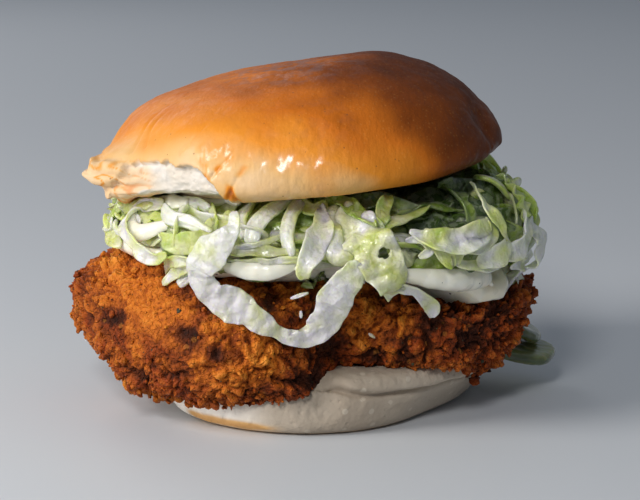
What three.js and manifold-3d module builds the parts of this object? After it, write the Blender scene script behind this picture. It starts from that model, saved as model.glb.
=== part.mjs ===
// Fried chicken burger: a soft round bun cut in two, and between its halves pickle slices, a thick fried
// chicken fillet, mayonnaise and a heap of shredded lettuce.
// Millimetres. +Z is up, -Y is the served front and +X is to its right. The origin is below the middle of
// the whole burger, on the surface that it stands on.
import * as THREE from "three";
import { ImprovedNoise } from "three/addons/math/ImprovedNoise.js";
import { mergeVertices } from "three/addons/utils/BufferGeometryUtils.js";
import Module from "manifold-3d";

// ---------------------------------------------------------------- driving dimensions
const CLEARANCE = 0.3; // left between two pieces that touch
const SLIVER = 0.15; // details of a skin smaller than this are merged after a cut

const BUN_RADIUS = 52.5; // the crown at its widest
const CROWN_HEIGHT = 30.2; // from the cut face to the top
const CROWN_WAIST = 8.5; // height of the widest ring above the cut face
const CROWN_LEAN = 8; // how far the top is pushed to the right of the cut face's middle
const CROWN_AT = new THREE.Vector3(-4.8, 0, 62.4); // middle of the cut face
const CROWN_ROLL = THREE.MathUtils.degToRad(-5.6); // the right side sits higher, on more lettuce

const HEEL_RADIUS = 44.5; // the heel at its widest
const HEEL_BASE_RADIUS = 40; // the flat that it stands on
const HEEL_EDGE = 13; // height of the cut edge
const HEEL_MIDDLE = 14.5; // height of the cut face's middle

const FILLET_MIDDLE = new THREE.Vector2(-6, -2);
const FILLET_TOP_LEFT = 47; // the fillet is thick on the left and thin on the right
const FILLET_TOP_RIGHT = 34;
const FILLET_BOTTOM = 3.6; // where its left lobe hangs lowest

const PICKLE_RADIUS = 14;
const PICKLE_THICKNESS = 3.4;

const LETTUCE_MIDDLE = new THREE.Vector2(0, 0);

// ---------------------------------------------------------------- tools
const wasm = await Module();
wasm.setup();

const perlin = new ImprovedNoise();
const MERGE = 1e-3;
const OUTLINE_STEPS = 400;

// An uneven value from about -1 to 1 that changes over `size` millimetres.
function uneven(spot, size, seed) {
  return perlin.noise(spot.x / size + seed, spot.y / size + seed, spot.z / size - seed);
}

// 1 at the middle of a bump and 0 a few widths away.
function bump(distance, width) {
  return Math.exp(-((distance / width) ** 2));
}

// The turn from angle b to angle a, in degrees from -180 to 180.
function turnBetween(a, b) {
  return THREE.MathUtils.euclideanModulo(a - b + 180, 360) - 180;
}

// A closed skin with two poles. place(angle, fall) gives the point at `angle` degrees round it and a share
// `fall` of the way down from the upper pole, which is at 0, to the lower one, at 1.
function closedSkin(around, down, place) {
  const skin = new THREE.SphereGeometry(1, around, down);
  const { position, uv } = skin.attributes;
  for (let i = 0; i < position.count; i++) {
    const spot = place(360 * (uv.getX(i) % 1), 1 - uv.getY(i));
    position.setXYZ(i, spot.x, spot.y, spot.z);
  }
  skin.deleteAttribute("uv");
  skin.deleteAttribute("normal");
  return mergeVertices(skin, MERGE);
}

// Moves each point of a skin outwards by depth(point).
function swell(skin, depth) {
  skin.computeVertexNormals();
  const { position, normal } = skin.attributes;
  const spot = new THREE.Vector3();
  const out = new THREE.Vector3();
  for (let i = 0; i < position.count; i++) {
    spot.fromBufferAttribute(position, i);
    out.fromBufferAttribute(normal, i);
    spot.addScaledVector(out, depth(spot));
    position.setXYZ(i, spot.x, spot.y, spot.z);
  }
  skin.deleteAttribute("normal");
  return skin;
}

// A layer's section: share of the way out, and of the way up or down, for a share `fall` of the way down.
// `above` and `below` say how square its upper and lower edges are: 2 is an ellipse, more is squarer.
function section(fall, above, below) {
  const polar = Math.PI * fall;
  const power = 2 / (fall < 0.5 ? above : below);
  const out = Math.sin(polar) ** power;
  const up = Math.sign(Math.cos(polar)) * Math.abs(Math.cos(polar)) ** power;
  return { out, up };
}

// A smooth closed outline, seen from above, through a few points: outline(angle) gives its distance from the
// layer's middle in that direction.
function outlineOf(points, middle) {
  const around = points.map(([x, y]) => new THREE.Vector3(x - middle.x, y - middle.y, 0));
  const steps = new THREE.CatmullRomCurve3(around, true).getPoints(OUTLINE_STEPS);
  const bearing = (step) => THREE.MathUtils.radToDeg(Math.atan2(step.y, step.x));
  return (angle) => {
    const miss = (step) => Math.abs(turnBetween(bearing(step), angle));
    return steps.reduce((best, step) => (miss(step) < miss(best) ? step : best)).length();
  };
}

// How far an edge hangs at an angle, from a list of tongues that each hang over it.
function hang(tongues, angle) {
  return tongues.reduce((sum, { at, width, drop }) => sum + drop * bump(turnBetween(angle, at), width), 0);
}

// A soft layer of food inside an outline. waist(spot, angle), top(spot) and bottom(spot) are heights.
function layer({ outline, middle, around, down, above, below, waist, top, bottom }) {
  return closedSkin(around, down, (angle, fall) => {
    const { out, up } = section(fall, above, below);
    const turn = THREE.MathUtils.degToRad(angle);
    const spotAt = (share) => ({
      x: middle.x + share * outline(angle) * Math.cos(turn),
      y: middle.y + share * outline(angle) * Math.sin(turn),
    });
    const spot = spotAt(out);
    const end = up > 0 ? top(spot) : bottom(spot);
    return new THREE.Vector3(spot.x, spot.y, THREE.MathUtils.lerp(waist(spotAt(1), angle), end, Math.abs(up)));
  });
}

function meshOf(name, skin, material) {
  const mesh = new THREE.Mesh(skin, material);
  mesh.name = name;
  return mesh;
}

// A mesh as a solid where it stands, with its skin moved out by `clear`.
function solidOf(mesh, clear = 0) {
  mesh.updateMatrixWorld(true);
  const skin = mesh.geometry.clone().applyMatrix4(mesh.matrixWorld);
  if (clear > 0) {
    swell(skin, () => clear);
  }
  return new wasm.Manifold(
    new wasm.Mesh({
      numProp: 3,
      vertProperties: new Float32Array(skin.attributes.position.array),
      triVerts: new Uint32Array(skin.index.array),
    }),
  );
}

function skinOf(solid) {
  const { vertProperties, triVerts } = solid.getMesh();
  const skin = new THREE.BufferGeometry();
  skin.setAttribute("position", new THREE.BufferAttribute(new Float32Array(vertProperties), 3));
  skin.setIndex(new THREE.BufferAttribute(new Uint32Array(triVerts), 1));
  return skin;
}

// Presses a mesh against its neighbours: their shapes, with the clearance, are taken out of it. Only the
// largest body is kept, so no loose crumb of it is left on the far side of a neighbour.
function pressAgainst(mesh, neighbours) {
  let solid = solidOf(mesh);
  for (const neighbour of neighbours) {
    solid = solid.subtract(solidOf(neighbour, CLEARANCE));
  }
  const bodies = solid.simplify(SLIVER).decompose();
  mesh.geometry = skinOf(bodies.reduce((a, b) => (b.volume() > a.volume() ? b : a)));
  return mesh;
}

function food(color, roughness) {
  return new THREE.MeshStandardMaterial({ color, roughness, metalness: 0 });
}

// ---------------------------------------------------------------- bun crown
// A domed half, squarish at its lower edge, fuller at the top left than at the top right. Its left front
// corner was pulled when the bun was torn off its neighbours: it runs out into a flap, and beside that the
// crust is gone from a shallow scoop. There is a thumb-sized dent low on the right.
function crown() {
  const shoulder = { at: 0, width: 400, height: 15.5, spread: 5, reach: -2.2 };
  const foot = { at: 350, width: 45, height: 1.5, spread: 5, reach: 2 };
  const flap = { at: 202, width: 8.5, height: 9, spread: 3, reach: 8.5 };
  const corner = { at: 210, width: 9, height: 3.5, spread: 3, reach: 4 };
  const scoop = { at: 232, width: 15, height: 5.5, spread: 5, reach: -3 };
  const dent = { at: 341, width: 7, height: 12, spread: 4, reach: -1.5 };
  const flat = { x: -8, width: 24, depth: 1.4 };
  const skin = closedSkin(48, 18, (angle, fall) => {
    const turn = THREE.MathUtils.degToRad(angle);
    const { out, up } = section(fall, 2.02 - 0.2 * Math.cos(turn), 6);
    const height = up > 0 ? CROWN_HEIGHT - CROWN_WAIST : CROWN_WAIST;
    const z = CROWN_WAIST + height * up;
    const pull = [shoulder, foot, flap, corner, scoop, dent].reduce(
      (sum, { at, width, height, spread, reach }) =>
        sum + reach * bump(turnBetween(angle, at), width) * bump(z - height, spread),
      0,
    );
    const radius = BUN_RADIUS * out + out ** 4 * pull;
    const lean = CROWN_LEAN * (z / CROWN_HEIGHT) ** 2 * (1 - out ** 2);
    const x = radius * Math.cos(turn) + lean;
    const sunk = flat.depth * bump(x - flat.x, flat.width) * Math.max(up, 0) ** 2;
    return new THREE.Vector3(x, radius * Math.sin(turn), z - sunk);
  });
  swell(skin, (spot) => uneven(spot, 38, 3.1) * THREE.MathUtils.smoothstep(spot.z, 1, 12));
  const mesh = meshOf("bun_crown", skin, food(0xc06a1e, 0.35));
  mesh.position.copy(CROWN_AT);
  mesh.rotation.y = CROWN_ROLL;
  return mesh;
}

// ---------------------------------------------------------------- bun heel
// A low disc with a flat base. Round the right of its front the crumb has been squeezed up and out over a
// crease, and its side slopes in below that.
function heel() {
  const crease = { at: 318, width: 42, height: 11.8, spread: 1.5, depth: 2.2, lip: 2.4 };
  const undercut = { at: 332, width: 36, reach: 9, from: 3, to: 13 };
  const flatFrom = 7 / 9; // the rest of the path below is the flat base
  const path = new THREE.CatmullRomCurve3(
    [
      [0, HEEL_MIDDLE],
      [0.5 * HEEL_RADIUS, HEEL_MIDDLE - 0.2],
      [0.87 * HEEL_RADIUS, HEEL_EDGE + 0.9],
      [0.97 * HEEL_RADIUS, HEEL_EDGE - 0.6],
      [HEEL_RADIUS, 0.72 * HEEL_EDGE],
      [HEEL_RADIUS, 0.42 * HEEL_EDGE],
      [0.97 * HEEL_RADIUS, 0.14 * HEEL_EDGE],
      [HEEL_BASE_RADIUS, 0],
      [0.5 * HEEL_BASE_RADIUS, 0],
      [0, 0],
    ].map(([radius, z]) => new THREE.Vector3(radius, 0, z)),
  );
  const skin = closedSkin(40, 18, (angle, fall) => {
    const { x: radius, z: height } = path.getPoint(fall);
    const out = radius / HEEL_RADIUS;
    const turn = THREE.MathUtils.degToRad(angle);
    const round = Math.min(1.4 * bump(turnBetween(angle, crease.at), crease.width), 1);
    const lip = crease.lip * round * THREE.MathUtils.smoothstep(height, 7, HEEL_EDGE) * out ** 2;
    const z = fall > flatFrom ? 0 : Math.max(height, 0) + lip;
    const nip = crease.depth * round * bump(z - crease.height, crease.spread) * out ** 8;
    const wander = 1.4 * Math.sin(3 * turn + 1.8) * out ** 2;
    const low = 1 - THREE.MathUtils.smoothstep(z, undercut.from, undercut.to);
    const slope = undercut.reach * bump(turnBetween(angle, undercut.at), undercut.width) * low * out ** 2;
    const reach = Math.max(radius - nip + wander - slope, 0);
    return new THREE.Vector3(reach * Math.cos(turn), reach * Math.sin(turn), z);
  });
  swell(skin, (spot) => (spot.z > 0.5 ? 0.5 * uneven(spot, 16, 7.7) : 0));
  return meshOf("bun_heel", skin, food(0xd9c7a6, 0.75));
}

// ---------------------------------------------------------------- pickle slices
// Round slices that lie on the heel's right edge and hang out past the fillet.
function pickle(name, { at, dip, swing }, neighbours) {
  const skin = closedSkin(28, 8, (angle, fall) => {
    const { out, up } = section(fall, 6, 6);
    const turn = THREE.MathUtils.degToRad(angle);
    const radius = PICKLE_RADIUS * out * (1 + 0.03 * Math.sin(5 * turn));
    const wave = 0.7 * out ** 2 * Math.sin(2 * turn + 1);
    const z = wave + (PICKLE_THICKNESS / 2) * up;
    return new THREE.Vector3(radius * Math.cos(turn), radius * Math.sin(turn), z);
  });
  skin.rotateY(THREE.MathUtils.degToRad(dip));
  skin.rotateZ(THREE.MathUtils.degToRad(swing));
  skin.translate(...at);
  return pressAgainst(meshOf(name, skin, food(0x66702c, 0.3)), neighbours);
}

// ---------------------------------------------------------------- chicken fillet
// Height of the fillet's top, which falls away to the right.
function filletTop(x) {
  return THREE.MathUtils.lerp(FILLET_TOP_LEFT, FILLET_TOP_RIGHT, THREE.MathUtils.smoothstep(x, -45, 55));
}

// Height of its underside: lowest under the left lobe, up on the heel at the right, and turned up at the left.
function filletBottom({ x, y }) {
  const onHeel = THREE.MathUtils.smoothstep(x, -16, 8) * (1 - THREE.MathUtils.smoothstep(x, 30, 46));
  const turnedUp = 7 * THREE.MathUtils.smoothstep(-x, 46, 70);
  return FILLET_BOTTOM + turnedUp + (y < 0 ? 8.5 : 4) * onHeel;
}

// Draws the lower part of a skin's right end in, so that the end leans outwards as it rises.
function tuckUnder(skin, { from, to, depth, low, high }) {
  const { position } = skin.attributes;
  for (let i = 0; i < position.count; i++) {
    const x = position.getX(i);
    const under = 1 - THREE.MathUtils.smoothstep(position.getZ(i), low, high);
    position.setX(i, x - depth * under * THREE.MathUtils.smoothstep(x, from, to));
  }
}

// A big uneven fillet. Its left lobe hangs over the front of the heel and its right lobe lies further back,
// with a cleft between them.
function fillet(neighbours) {
  const skin = layer({
    outline: outlineOf(
      [
        [59, 3],
        [50, 28],
        [22, 43],
        [-16, 47],
        [-50, 33],
        [-66, 8],
        [-64, -18],
        [-49, -39],
        [-24, -50],
        [-8, -46],
        [1, -37],
        [10, -36],
        [30, -38],
        [48, -26],
      ],
      FILLET_MIDDLE,
    ),
    middle: FILLET_MIDDLE,
    around: 54,
    down: 17,
    above: 3.2,
    below: 3.3,
    waist: ({ x, y }) => {
      const share = THREE.MathUtils.lerp(0.48, 0.8, THREE.MathUtils.smoothstep(x, 20, 55));
      return THREE.MathUtils.lerp(filletBottom({ x, y }), filletTop(x), share);
    },
    top: ({ x, y }) => filletTop(x) - 0.0012 * y * y - 7 * THREE.MathUtils.smoothstep(-x, 40, 66),
    bottom: filletBottom,
  });
  tuckUnder(skin, { from: 28, to: 56, depth: 6, low: 12, high: 30 });
  swell(skin, (spot) => 2.6 * uneven(spot, 19, 1.3) + 1.2 * uneven(spot, 9, 5.9));
  return pressAgainst(meshOf("chicken_fillet", skin, food(0xa8561c, 0.7)), neighbours);
}

// ---------------------------------------------------------------- mayonnaise
// A thick layer that runs right through on top of the fillet, and hangs over its edge in tongues.
function mayonnaise(neighbours) {
  const tongues = [
    { at: 210, width: 14, drop: 2 },
    { at: 246, width: 12, drop: 2.5 },
    { at: 292, width: 20, drop: -3 },
    { at: 329, width: 7, drop: 7 },
    { at: 75, width: 16, drop: 5 },
    { at: 130, width: 12, drop: 4 },
  ];
  const skin = layer({
    outline: outlineOf(
      [
        [51, 2],
        [42, 26],
        [16, 40],
        [-16, 42],
        [-42, 30],
        [-57, 6],
        [-54, -20],
        [-36, -41],
        [-12, -45],
        [6, -37],
        [30, -35],
        [47, -25],
      ],
      FILLET_MIDDLE,
    ),
    middle: FILLET_MIDDLE,
    around: 42,
    down: 12,
    above: 3,
    below: 3,
    waist: ({ x }, angle) => filletTop(x) + 1 - hang(tongues, angle),
    top: ({ x }) => filletTop(x) + THREE.MathUtils.lerp(3.5, 8, THREE.MathUtils.smoothstep(x, -5, 35)),
    bottom: ({ x }) => filletTop(x) - 6,
  });
  swell(skin, (spot) => 1.2 * uneven(spot, 13, 9.2));
  return pressAgainst(meshOf("mayonnaise", skin, food(0xe6ddc0, 0.25)), neighbours);
}

// ---------------------------------------------------------------- shredded lettuce
// The heap's outer shape. It fills the space under the crown, hangs over the front in a long lobe and
// stands well out on the right.
function lettuce(neighbours) {
  const lobes = [
    { at: 238, width: 14, drop: 4 },
    { at: 266, width: 18, drop: 19 },
    { at: 298, width: 8, drop: 8 },
    { at: 12, width: 20, drop: 9 },
    { at: 100, width: 18, drop: 8 },
    { at: 160, width: 12, drop: 4 },
  ];
  const skin = layer({
    outline: outlineOf(
      [
        [58, 8],
        [52, 32],
        [24, 46],
        [-12, 49],
        [-44, 37],
        [-57, 10],
        [-55, -20],
        [-36, -43],
        [-10, -53],
        [10, -53],
        [38, -42],
        [54, -18],
      ],
      LETTUCE_MIDDLE,
    ),
    middle: LETTUCE_MIDDLE,
    around: 48,
    down: 14,
    above: 2.6,
    below: 2.6,
    waist: (_, angle) => 49 - hang(lobes, angle),
    top: ({ x }) => CROWN_AT.z + 4 - Math.tan(CROWN_ROLL) * x,
    bottom: ({ x }) => filletTop(x) - 3,
  });
  swell(skin, (spot) => 1.8 * uneven(spot, 10, 4.4));
  return pressAgainst(meshOf("shredded_lettuce", skin, food(0xb9c97a, 0.4)), neighbours);
}

// ---------------------------------------------------------------- the burger
const bunCrown = crown();
const bunHeel = heel();
const pickleLow = pickle("pickle_slice_low", { at: [51, 13, 11.1], dip: 12, swing: 6 }, [bunHeel]);
const pickleHigh = pickle("pickle_slice_high", { at: [49, 16, 19.5], dip: 34, swing: 10 }, [bunHeel, pickleLow]);
const chicken = fillet([bunHeel, pickleLow, pickleHigh]);
const mayo = mayonnaise([chicken]);
const heap = lettuce([bunCrown, mayo, chicken]);

const burger = new THREE.Group();
burger.add(bunHeel, pickleLow, pickleHigh, chicken, mayo, heap, bunCrown);

// The origin goes below the middle of the whole.
const box = new THREE.Box3().setFromObject(burger);
const middle = box.getCenter(new THREE.Vector3());
burger.position.set(-middle.x, -middle.y, -box.min.z);

export default burger;
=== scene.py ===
# %% [markdown]
# # A fried chicken burger
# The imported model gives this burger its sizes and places: a torn bun crown, a heap of lettuce, mayonnaise,
# a fried fillet, two pickle slices and a bun heel. Here each of those plain solids is turned into food. The
# way is the same for every piece: take a copy of its solid, give it an even skin, sculpt that skin with a
# few formulas, note where it is browned, torn or craggy, and let a material read those notes.

# %% Frame
import math
import random

import bmesh
import bpy
import numpy as np
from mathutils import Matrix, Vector
from mathutils.bvhtree import BVHTree


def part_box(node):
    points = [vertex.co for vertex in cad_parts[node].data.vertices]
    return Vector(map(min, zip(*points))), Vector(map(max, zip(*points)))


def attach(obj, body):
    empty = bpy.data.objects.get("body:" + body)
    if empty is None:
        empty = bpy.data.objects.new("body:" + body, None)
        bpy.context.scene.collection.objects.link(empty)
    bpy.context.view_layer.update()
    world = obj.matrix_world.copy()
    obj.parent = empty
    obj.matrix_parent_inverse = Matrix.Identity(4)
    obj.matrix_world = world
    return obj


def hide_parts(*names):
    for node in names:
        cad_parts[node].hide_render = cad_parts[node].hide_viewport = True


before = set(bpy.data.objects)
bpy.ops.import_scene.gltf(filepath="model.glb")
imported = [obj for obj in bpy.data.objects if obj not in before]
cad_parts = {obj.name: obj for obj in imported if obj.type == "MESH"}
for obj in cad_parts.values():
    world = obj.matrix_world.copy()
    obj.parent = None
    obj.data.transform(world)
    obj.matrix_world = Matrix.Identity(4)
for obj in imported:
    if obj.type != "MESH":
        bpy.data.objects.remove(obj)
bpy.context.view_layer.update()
MM = 0.001

# %% [markdown]
# ## Reading and moving a skin
# A mesh keeps its points in metres. Moving each point in a Python loop is slow, so all of them are read
# into one numpy array, in millimetres, moved together, and written back. A note about the surface, such as
# how browned it is, is stored beside the points as a named attribute, which a material can read.


# %% Points, normals and notes
def read_vectors(mesh, what):
    flat = np.empty(3 * len(mesh.vertices))
    mesh.vertices.foreach_get(what, flat)
    return flat.reshape(-1, 3)


def read_points(mesh):
    return read_vectors(mesh, "co") / MM


def skin_of(piece):
    """A piece's points in millimetres, and the way that its skin faces at each of them."""
    return read_points(piece.data), read_vectors(piece.data, "normal")


def write_points(mesh, points):
    mesh.vertices.foreach_set("co", (points * MM).ravel())
    mesh.update()


def note(mesh, name, values):
    """Stores one number for each point of a mesh under a name."""
    layer = mesh.attributes.get(name) or mesh.attributes.new(name, "FLOAT", "POINT")
    layer.data.foreach_set("value", np.clip(values, 0, 1).astype(np.float32))


print("the crown's plain solid has", len(read_points(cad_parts["bun_crown"].data)), "points")

# %% [markdown]
# ## An even skin
# The solids are made of large flat facets. A voxel remesh covers a solid with an even grid of small
# squares, a few rounds of smoothing take the facets away, and subdivision gives points close enough for
# fine relief. The modifiers are then applied, because the sculpting that follows needs real points to move.


# %% Skins
def settle(piece):
    """Applies a piece's modifiers for good."""
    graph = bpy.context.evaluated_depsgraph_get()
    mesh = bpy.data.meshes.new_from_object(piece.evaluated_get(graph))
    piece.modifiers.clear()
    piece.data = mesh


def add_piece(name, mesh, replaced=None):
    """A piece of the burger, attached to the root, with the solid that it stands for hidden if one is given.
    """
    mesh.materials.clear()
    piece = bpy.data.objects.new(name, mesh)
    bpy.context.scene.collection.objects.link(piece)
    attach(piece, "root")
    if replaced:
        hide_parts(replaced)
    return piece


def even_skin(node, name, square, rounds, finer):
    """A copy of a node's solid covered in squares of a size in millimetres, smoothed and divided."""
    piece = add_piece(name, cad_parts[node].data.copy(), node)
    remesh = piece.modifiers.new("even", "REMESH")
    remesh.mode = "VOXEL"
    remesh.voxel_size = square * MM
    soften = piece.modifiers.new("soft", "SMOOTH")
    soften.iterations = rounds
    if finer:
        divide = piece.modifiers.new("fine", "SUBSURF")
        divide.levels = divide.render_levels = finer
    settle(piece)
    piece.data.shade_smooth()
    print(name, len(piece.data.polygons), "faces")
    return piece


# %% [markdown]
# ## Unevenness
# Food is never regular. Two kinds of noise give nearly all of its relief, and both start from numbers
# scrambled out of each lattice cell's place, so they come out the same on every run. Soft noise rises and
# falls like hills: it makes dough lumpy.


# %% Soft noise
def scramble(cells, seed, count):
    """`count` repeatable random numbers from 0 to 1 for each whole-number lattice cell."""
    mixed = cells[..., 0] * 73856093 ^ cells[..., 1] * 19349663 ^ cells[..., 2] * 83492791 ^ seed * 6542989
    numbers = []
    for k in range(count):
        value = (mixed + k * 40503661) & 0xFFFFFFFF
        value = ((value ^ (value >> 15)) * 0x2C1B3C6D) & 0xFFFFFFFF
        value = ((value ^ (value >> 12)) * 0x297A2D39) & 0xFFFFFFFF
        numbers.append(((value ^ (value >> 15)) & 0xFFFFFF) / 0xFFFFFF)
    return np.stack(numbers, -1)


def soft_noise(points, size, seed):
    """Smooth noise from about -1 to 1 whose hills are about `size` apart."""
    place = points / size
    cell = np.floor(place).astype(np.int64)
    inside = place - cell
    fade = inside**3 * (inside * (inside * 6 - 15) + 10)
    total = np.zeros(len(points))
    for corner in np.ndindex(2, 2, 2):
        slope = 2 * scramble(cell + corner, seed, 3) - 1
        weight = np.prod(np.where(np.array(corner) == 1, fade, 1 - fade), -1)
        total += weight * np.sum(slope * (inside - corner), -1)
    return 1.6 * total


trial = soft_noise(np.arange(3000).reshape(-1, 3) * 0.37, 5, 0)
print("soft noise runs from", round(float(trial.min()), 2), "to", round(float(trial.max()), 2))

# %% [markdown]
# Pebble noise measures how far each point is from the nearest of many scattered seeds, against the next
# nearest. It makes round nodules with sharp clefts between them, as fried coating has.


# %% Pebbles
def pebbles(points, size, seed):
    """Height of rounded pebbles about `size` across, 1 at their tops and 0 in their clefts, and each
    pebble's own random number."""
    place = points / size
    cell = np.floor(place).astype(np.int64)
    first = np.full(len(points), 9.0)
    second = np.full(len(points), 9.0)
    own = np.zeros(len(points))
    for step in np.ndindex(3, 3, 3):
        there = cell + np.array(step) - 1
        numbers = scramble(there, seed, 4)
        away = np.linalg.norm(there + numbers[..., :3] - place, axis=-1)
        nearer = away < first
        second = np.where(nearer, first, np.minimum(second, away))
        own = np.where(nearer, numbers[..., 3], own)
        first = np.minimum(first, away)
    return np.clip(1 - (first / np.maximum(second, 1e-6)) ** 2, 0, 1) ** 0.7, own


trial, _ = pebbles(np.arange(3000).reshape(-1, 3) * 0.37, 5, 0)
print("pebbles are", round(float(trial.mean()), 2), "high on average")

# %% [markdown]
# Nothing on food starts or stops at a line, so places fade into one another. A rise is a smooth step, a
# band is 1 between two such steps, and a bump is a soft spot. Most places go round the burger, so they are
# named by a turn: 0 degrees is the right, 180 the left and 270 the front.


# %% Steps, spots and turns
def rise(value, low, high):
    """0 below low, 1 above high, and a smooth step between them."""
    share = np.clip((value - low) / (high - low), 0, 1)
    return share * share * (3 - 2 * share)


def band(value, low, low_end, high_end, high):
    """1 from low_end to high_end, 0 below low and above high, and smooth steps between them."""
    return rise(value, low, low_end) * (1 - rise(value, high_end, high))


def bump(distance, width):
    """1 at the middle of a bump and 0 a few widths away."""
    return np.exp(-((distance / width) ** 2))


def turn_of(away):
    """How far round each offset points, in degrees from 0 to 360."""
    return np.degrees(np.arctan2(away[:, 1], away[:, 0])) % 360


def turn_from(angles, middle):
    """The turn from a middle angle to each angle, in degrees from -180 to 180."""
    return (angles - middle + 180) % 360 - 180


def unit(vectors):
    return vectors / np.maximum(np.linalg.norm(vectors, axis=-1, keepdims=True), 1e-9)


print("half way up a step from 0 to 4 is", float(rise(2, 0, 4)))

# %% [markdown]
# ## Materials from a few shared effects
# A Principled BSDF makes each finish, and what makes it look like food is variation in its inputs. Four
# effects come up again and again, so each is a node group, built once. Mottling is a soft cloudy mask, for
# uneven browning. Pits is a field of small round hollows, for the pores in bread. Flecks is a mask of
# scattered specks, for pepper, blisters and crumbs. Net is a mesh of thin crooked lines, for the veins of a
# leaf and the cracks in a fried coat.


# %% Node helpers
def node_group(name, inputs, output):
    """An empty group with a Vector input, number inputs and one number output."""
    group = bpy.data.node_groups.new(name, "ShaderNodeTree")
    group.interface.new_socket("Vector", in_out="INPUT", socket_type="NodeSocketVector")
    for label, value in inputs.items():
        socket = group.interface.new_socket(label, in_out="INPUT", socket_type="NodeSocketFloat")
        socket.default_value = value
    group.interface.new_socket(output, in_out="OUTPUT", socket_type="NodeSocketFloat")
    return group, group.nodes.new("NodeGroupInput"), group.nodes.new("NodeGroupOutput")


def plug(tree, socket, value):
    """Links a socket to another one, or sets it to a plain value."""
    if isinstance(value, bpy.types.NodeSocket):
        tree.links.new(value, socket)
    else:
        socket.default_value = value


def maths(tree, operation, *values, clamp=False):
    node = tree.nodes.new("ShaderNodeMath")
    node.operation = operation
    node.use_clamp = clamp
    for socket, value in zip(node.inputs, values):
        plug(tree, socket, value)
    return node.outputs[0]


def stretch_range(tree, value, low, high, to_low=0.0, to_high=1.0):
    node = tree.nodes.new("ShaderNodeMapRange")
    node.interpolation_type = "SMOOTHSTEP"
    for socket, setting in zip(node.inputs, (value, low, high, to_low, to_high)):
        plug(tree, socket, setting)
    return node.outputs[0]


# %% Mottling, pits and flecks
def build_mottling():
    group, given, result = node_group("mottling", {"Size": 0.01, "Contrast": 1.0}, "Mask")
    noise = group.nodes.new("ShaderNodeTexNoise")
    noise.inputs["Detail"].default_value = 4
    group.links.new(given.outputs["Vector"], noise.inputs["Vector"])
    group.links.new(maths(group, "DIVIDE", 1.0, given.outputs["Size"]), noise.inputs["Scale"])
    centred = maths(group, "SUBTRACT", noise.outputs["Fac"], 0.5)
    spread = maths(group, "MULTIPLY", centred, given.outputs["Contrast"])
    group.links.new(maths(group, "ADD", spread, 0.5, clamp=True), result.inputs["Mask"])
    return group


def build_scatter(name, output, soft):
    """Round marks about Size across, in the given Share of the places where one could be."""
    group, given, result = node_group(name, {"Size": 0.001, "Share": 0.5}, output)
    cells = group.nodes.new("ShaderNodeTexVoronoi")
    group.links.new(given.outputs["Vector"], cells.inputs["Vector"])
    group.links.new(maths(group, "DIVIDE", 0.5, given.outputs["Size"]), cells.inputs["Scale"])
    split = group.nodes.new("ShaderNodeSeparateColor")
    group.links.new(cells.outputs["Color"], split.inputs["Color"])
    chosen = maths(group, "LESS_THAN", split.outputs[0], given.outputs["Share"])
    reach = maths(group, "MULTIPLY_ADD", split.outputs[1], 0.25, 0.2)
    inner = maths(group, "MULTIPLY", reach, soft)
    shape = stretch_range(group, cells.outputs["Distance"], reach, inner)
    group.links.new(maths(group, "MULTIPLY", chosen, shape), result.inputs[output])
    return group


def build_net():
    """Thin crooked lines between cells about Size across, Width being the lines' share of a cell."""
    group, given, result = node_group("net", {"Size": 0.003, "Width": 0.15}, "Line")
    finer = maths(group, "DIVIDE", 1.0, given.outputs["Size"])
    noise = group.nodes.new("ShaderNodeTexNoise")
    group.links.new(given.outputs["Vector"], noise.inputs["Vector"])
    group.links.new(finer, noise.inputs["Scale"])
    push = group.nodes.new("ShaderNodeVectorMath")
    push.operation = "SCALE"
    group.links.new(noise.outputs["Color"], push.inputs[0])
    group.links.new(given.outputs["Size"], push.inputs["Scale"])
    bent = group.nodes.new("ShaderNodeVectorMath")
    group.links.new(given.outputs["Vector"], bent.inputs[0])
    group.links.new(push.outputs[0], bent.inputs[1])
    cells = group.nodes.new("ShaderNodeTexVoronoi")
    cells.feature = "DISTANCE_TO_EDGE"
    group.links.new(bent.outputs[0], cells.inputs["Vector"])
    group.links.new(finer, cells.inputs["Scale"])
    line = stretch_range(group, cells.outputs["Distance"], given.outputs["Width"], 0.0)
    group.links.new(line, result.inputs["Line"])
    return group


mottling = build_mottling()
pits = build_scatter("pits", "Depth", 0.1)
flecks = build_scatter("flecks", "Mask", 0.75)
net = build_net()
print("shared effects:", mottling.name, pits.name, flecks.name, net.name)


# %% [markdown]
# A small class keeps each material's recipe short. It starts the material, hands out the object's own
# coordinates and the stored notes, and adds the usual steps: a group, a row of colours, a mix, and a bump.
# Constant settings go on the shader's own sockets, and only what varies over the surface is linked.


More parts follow.
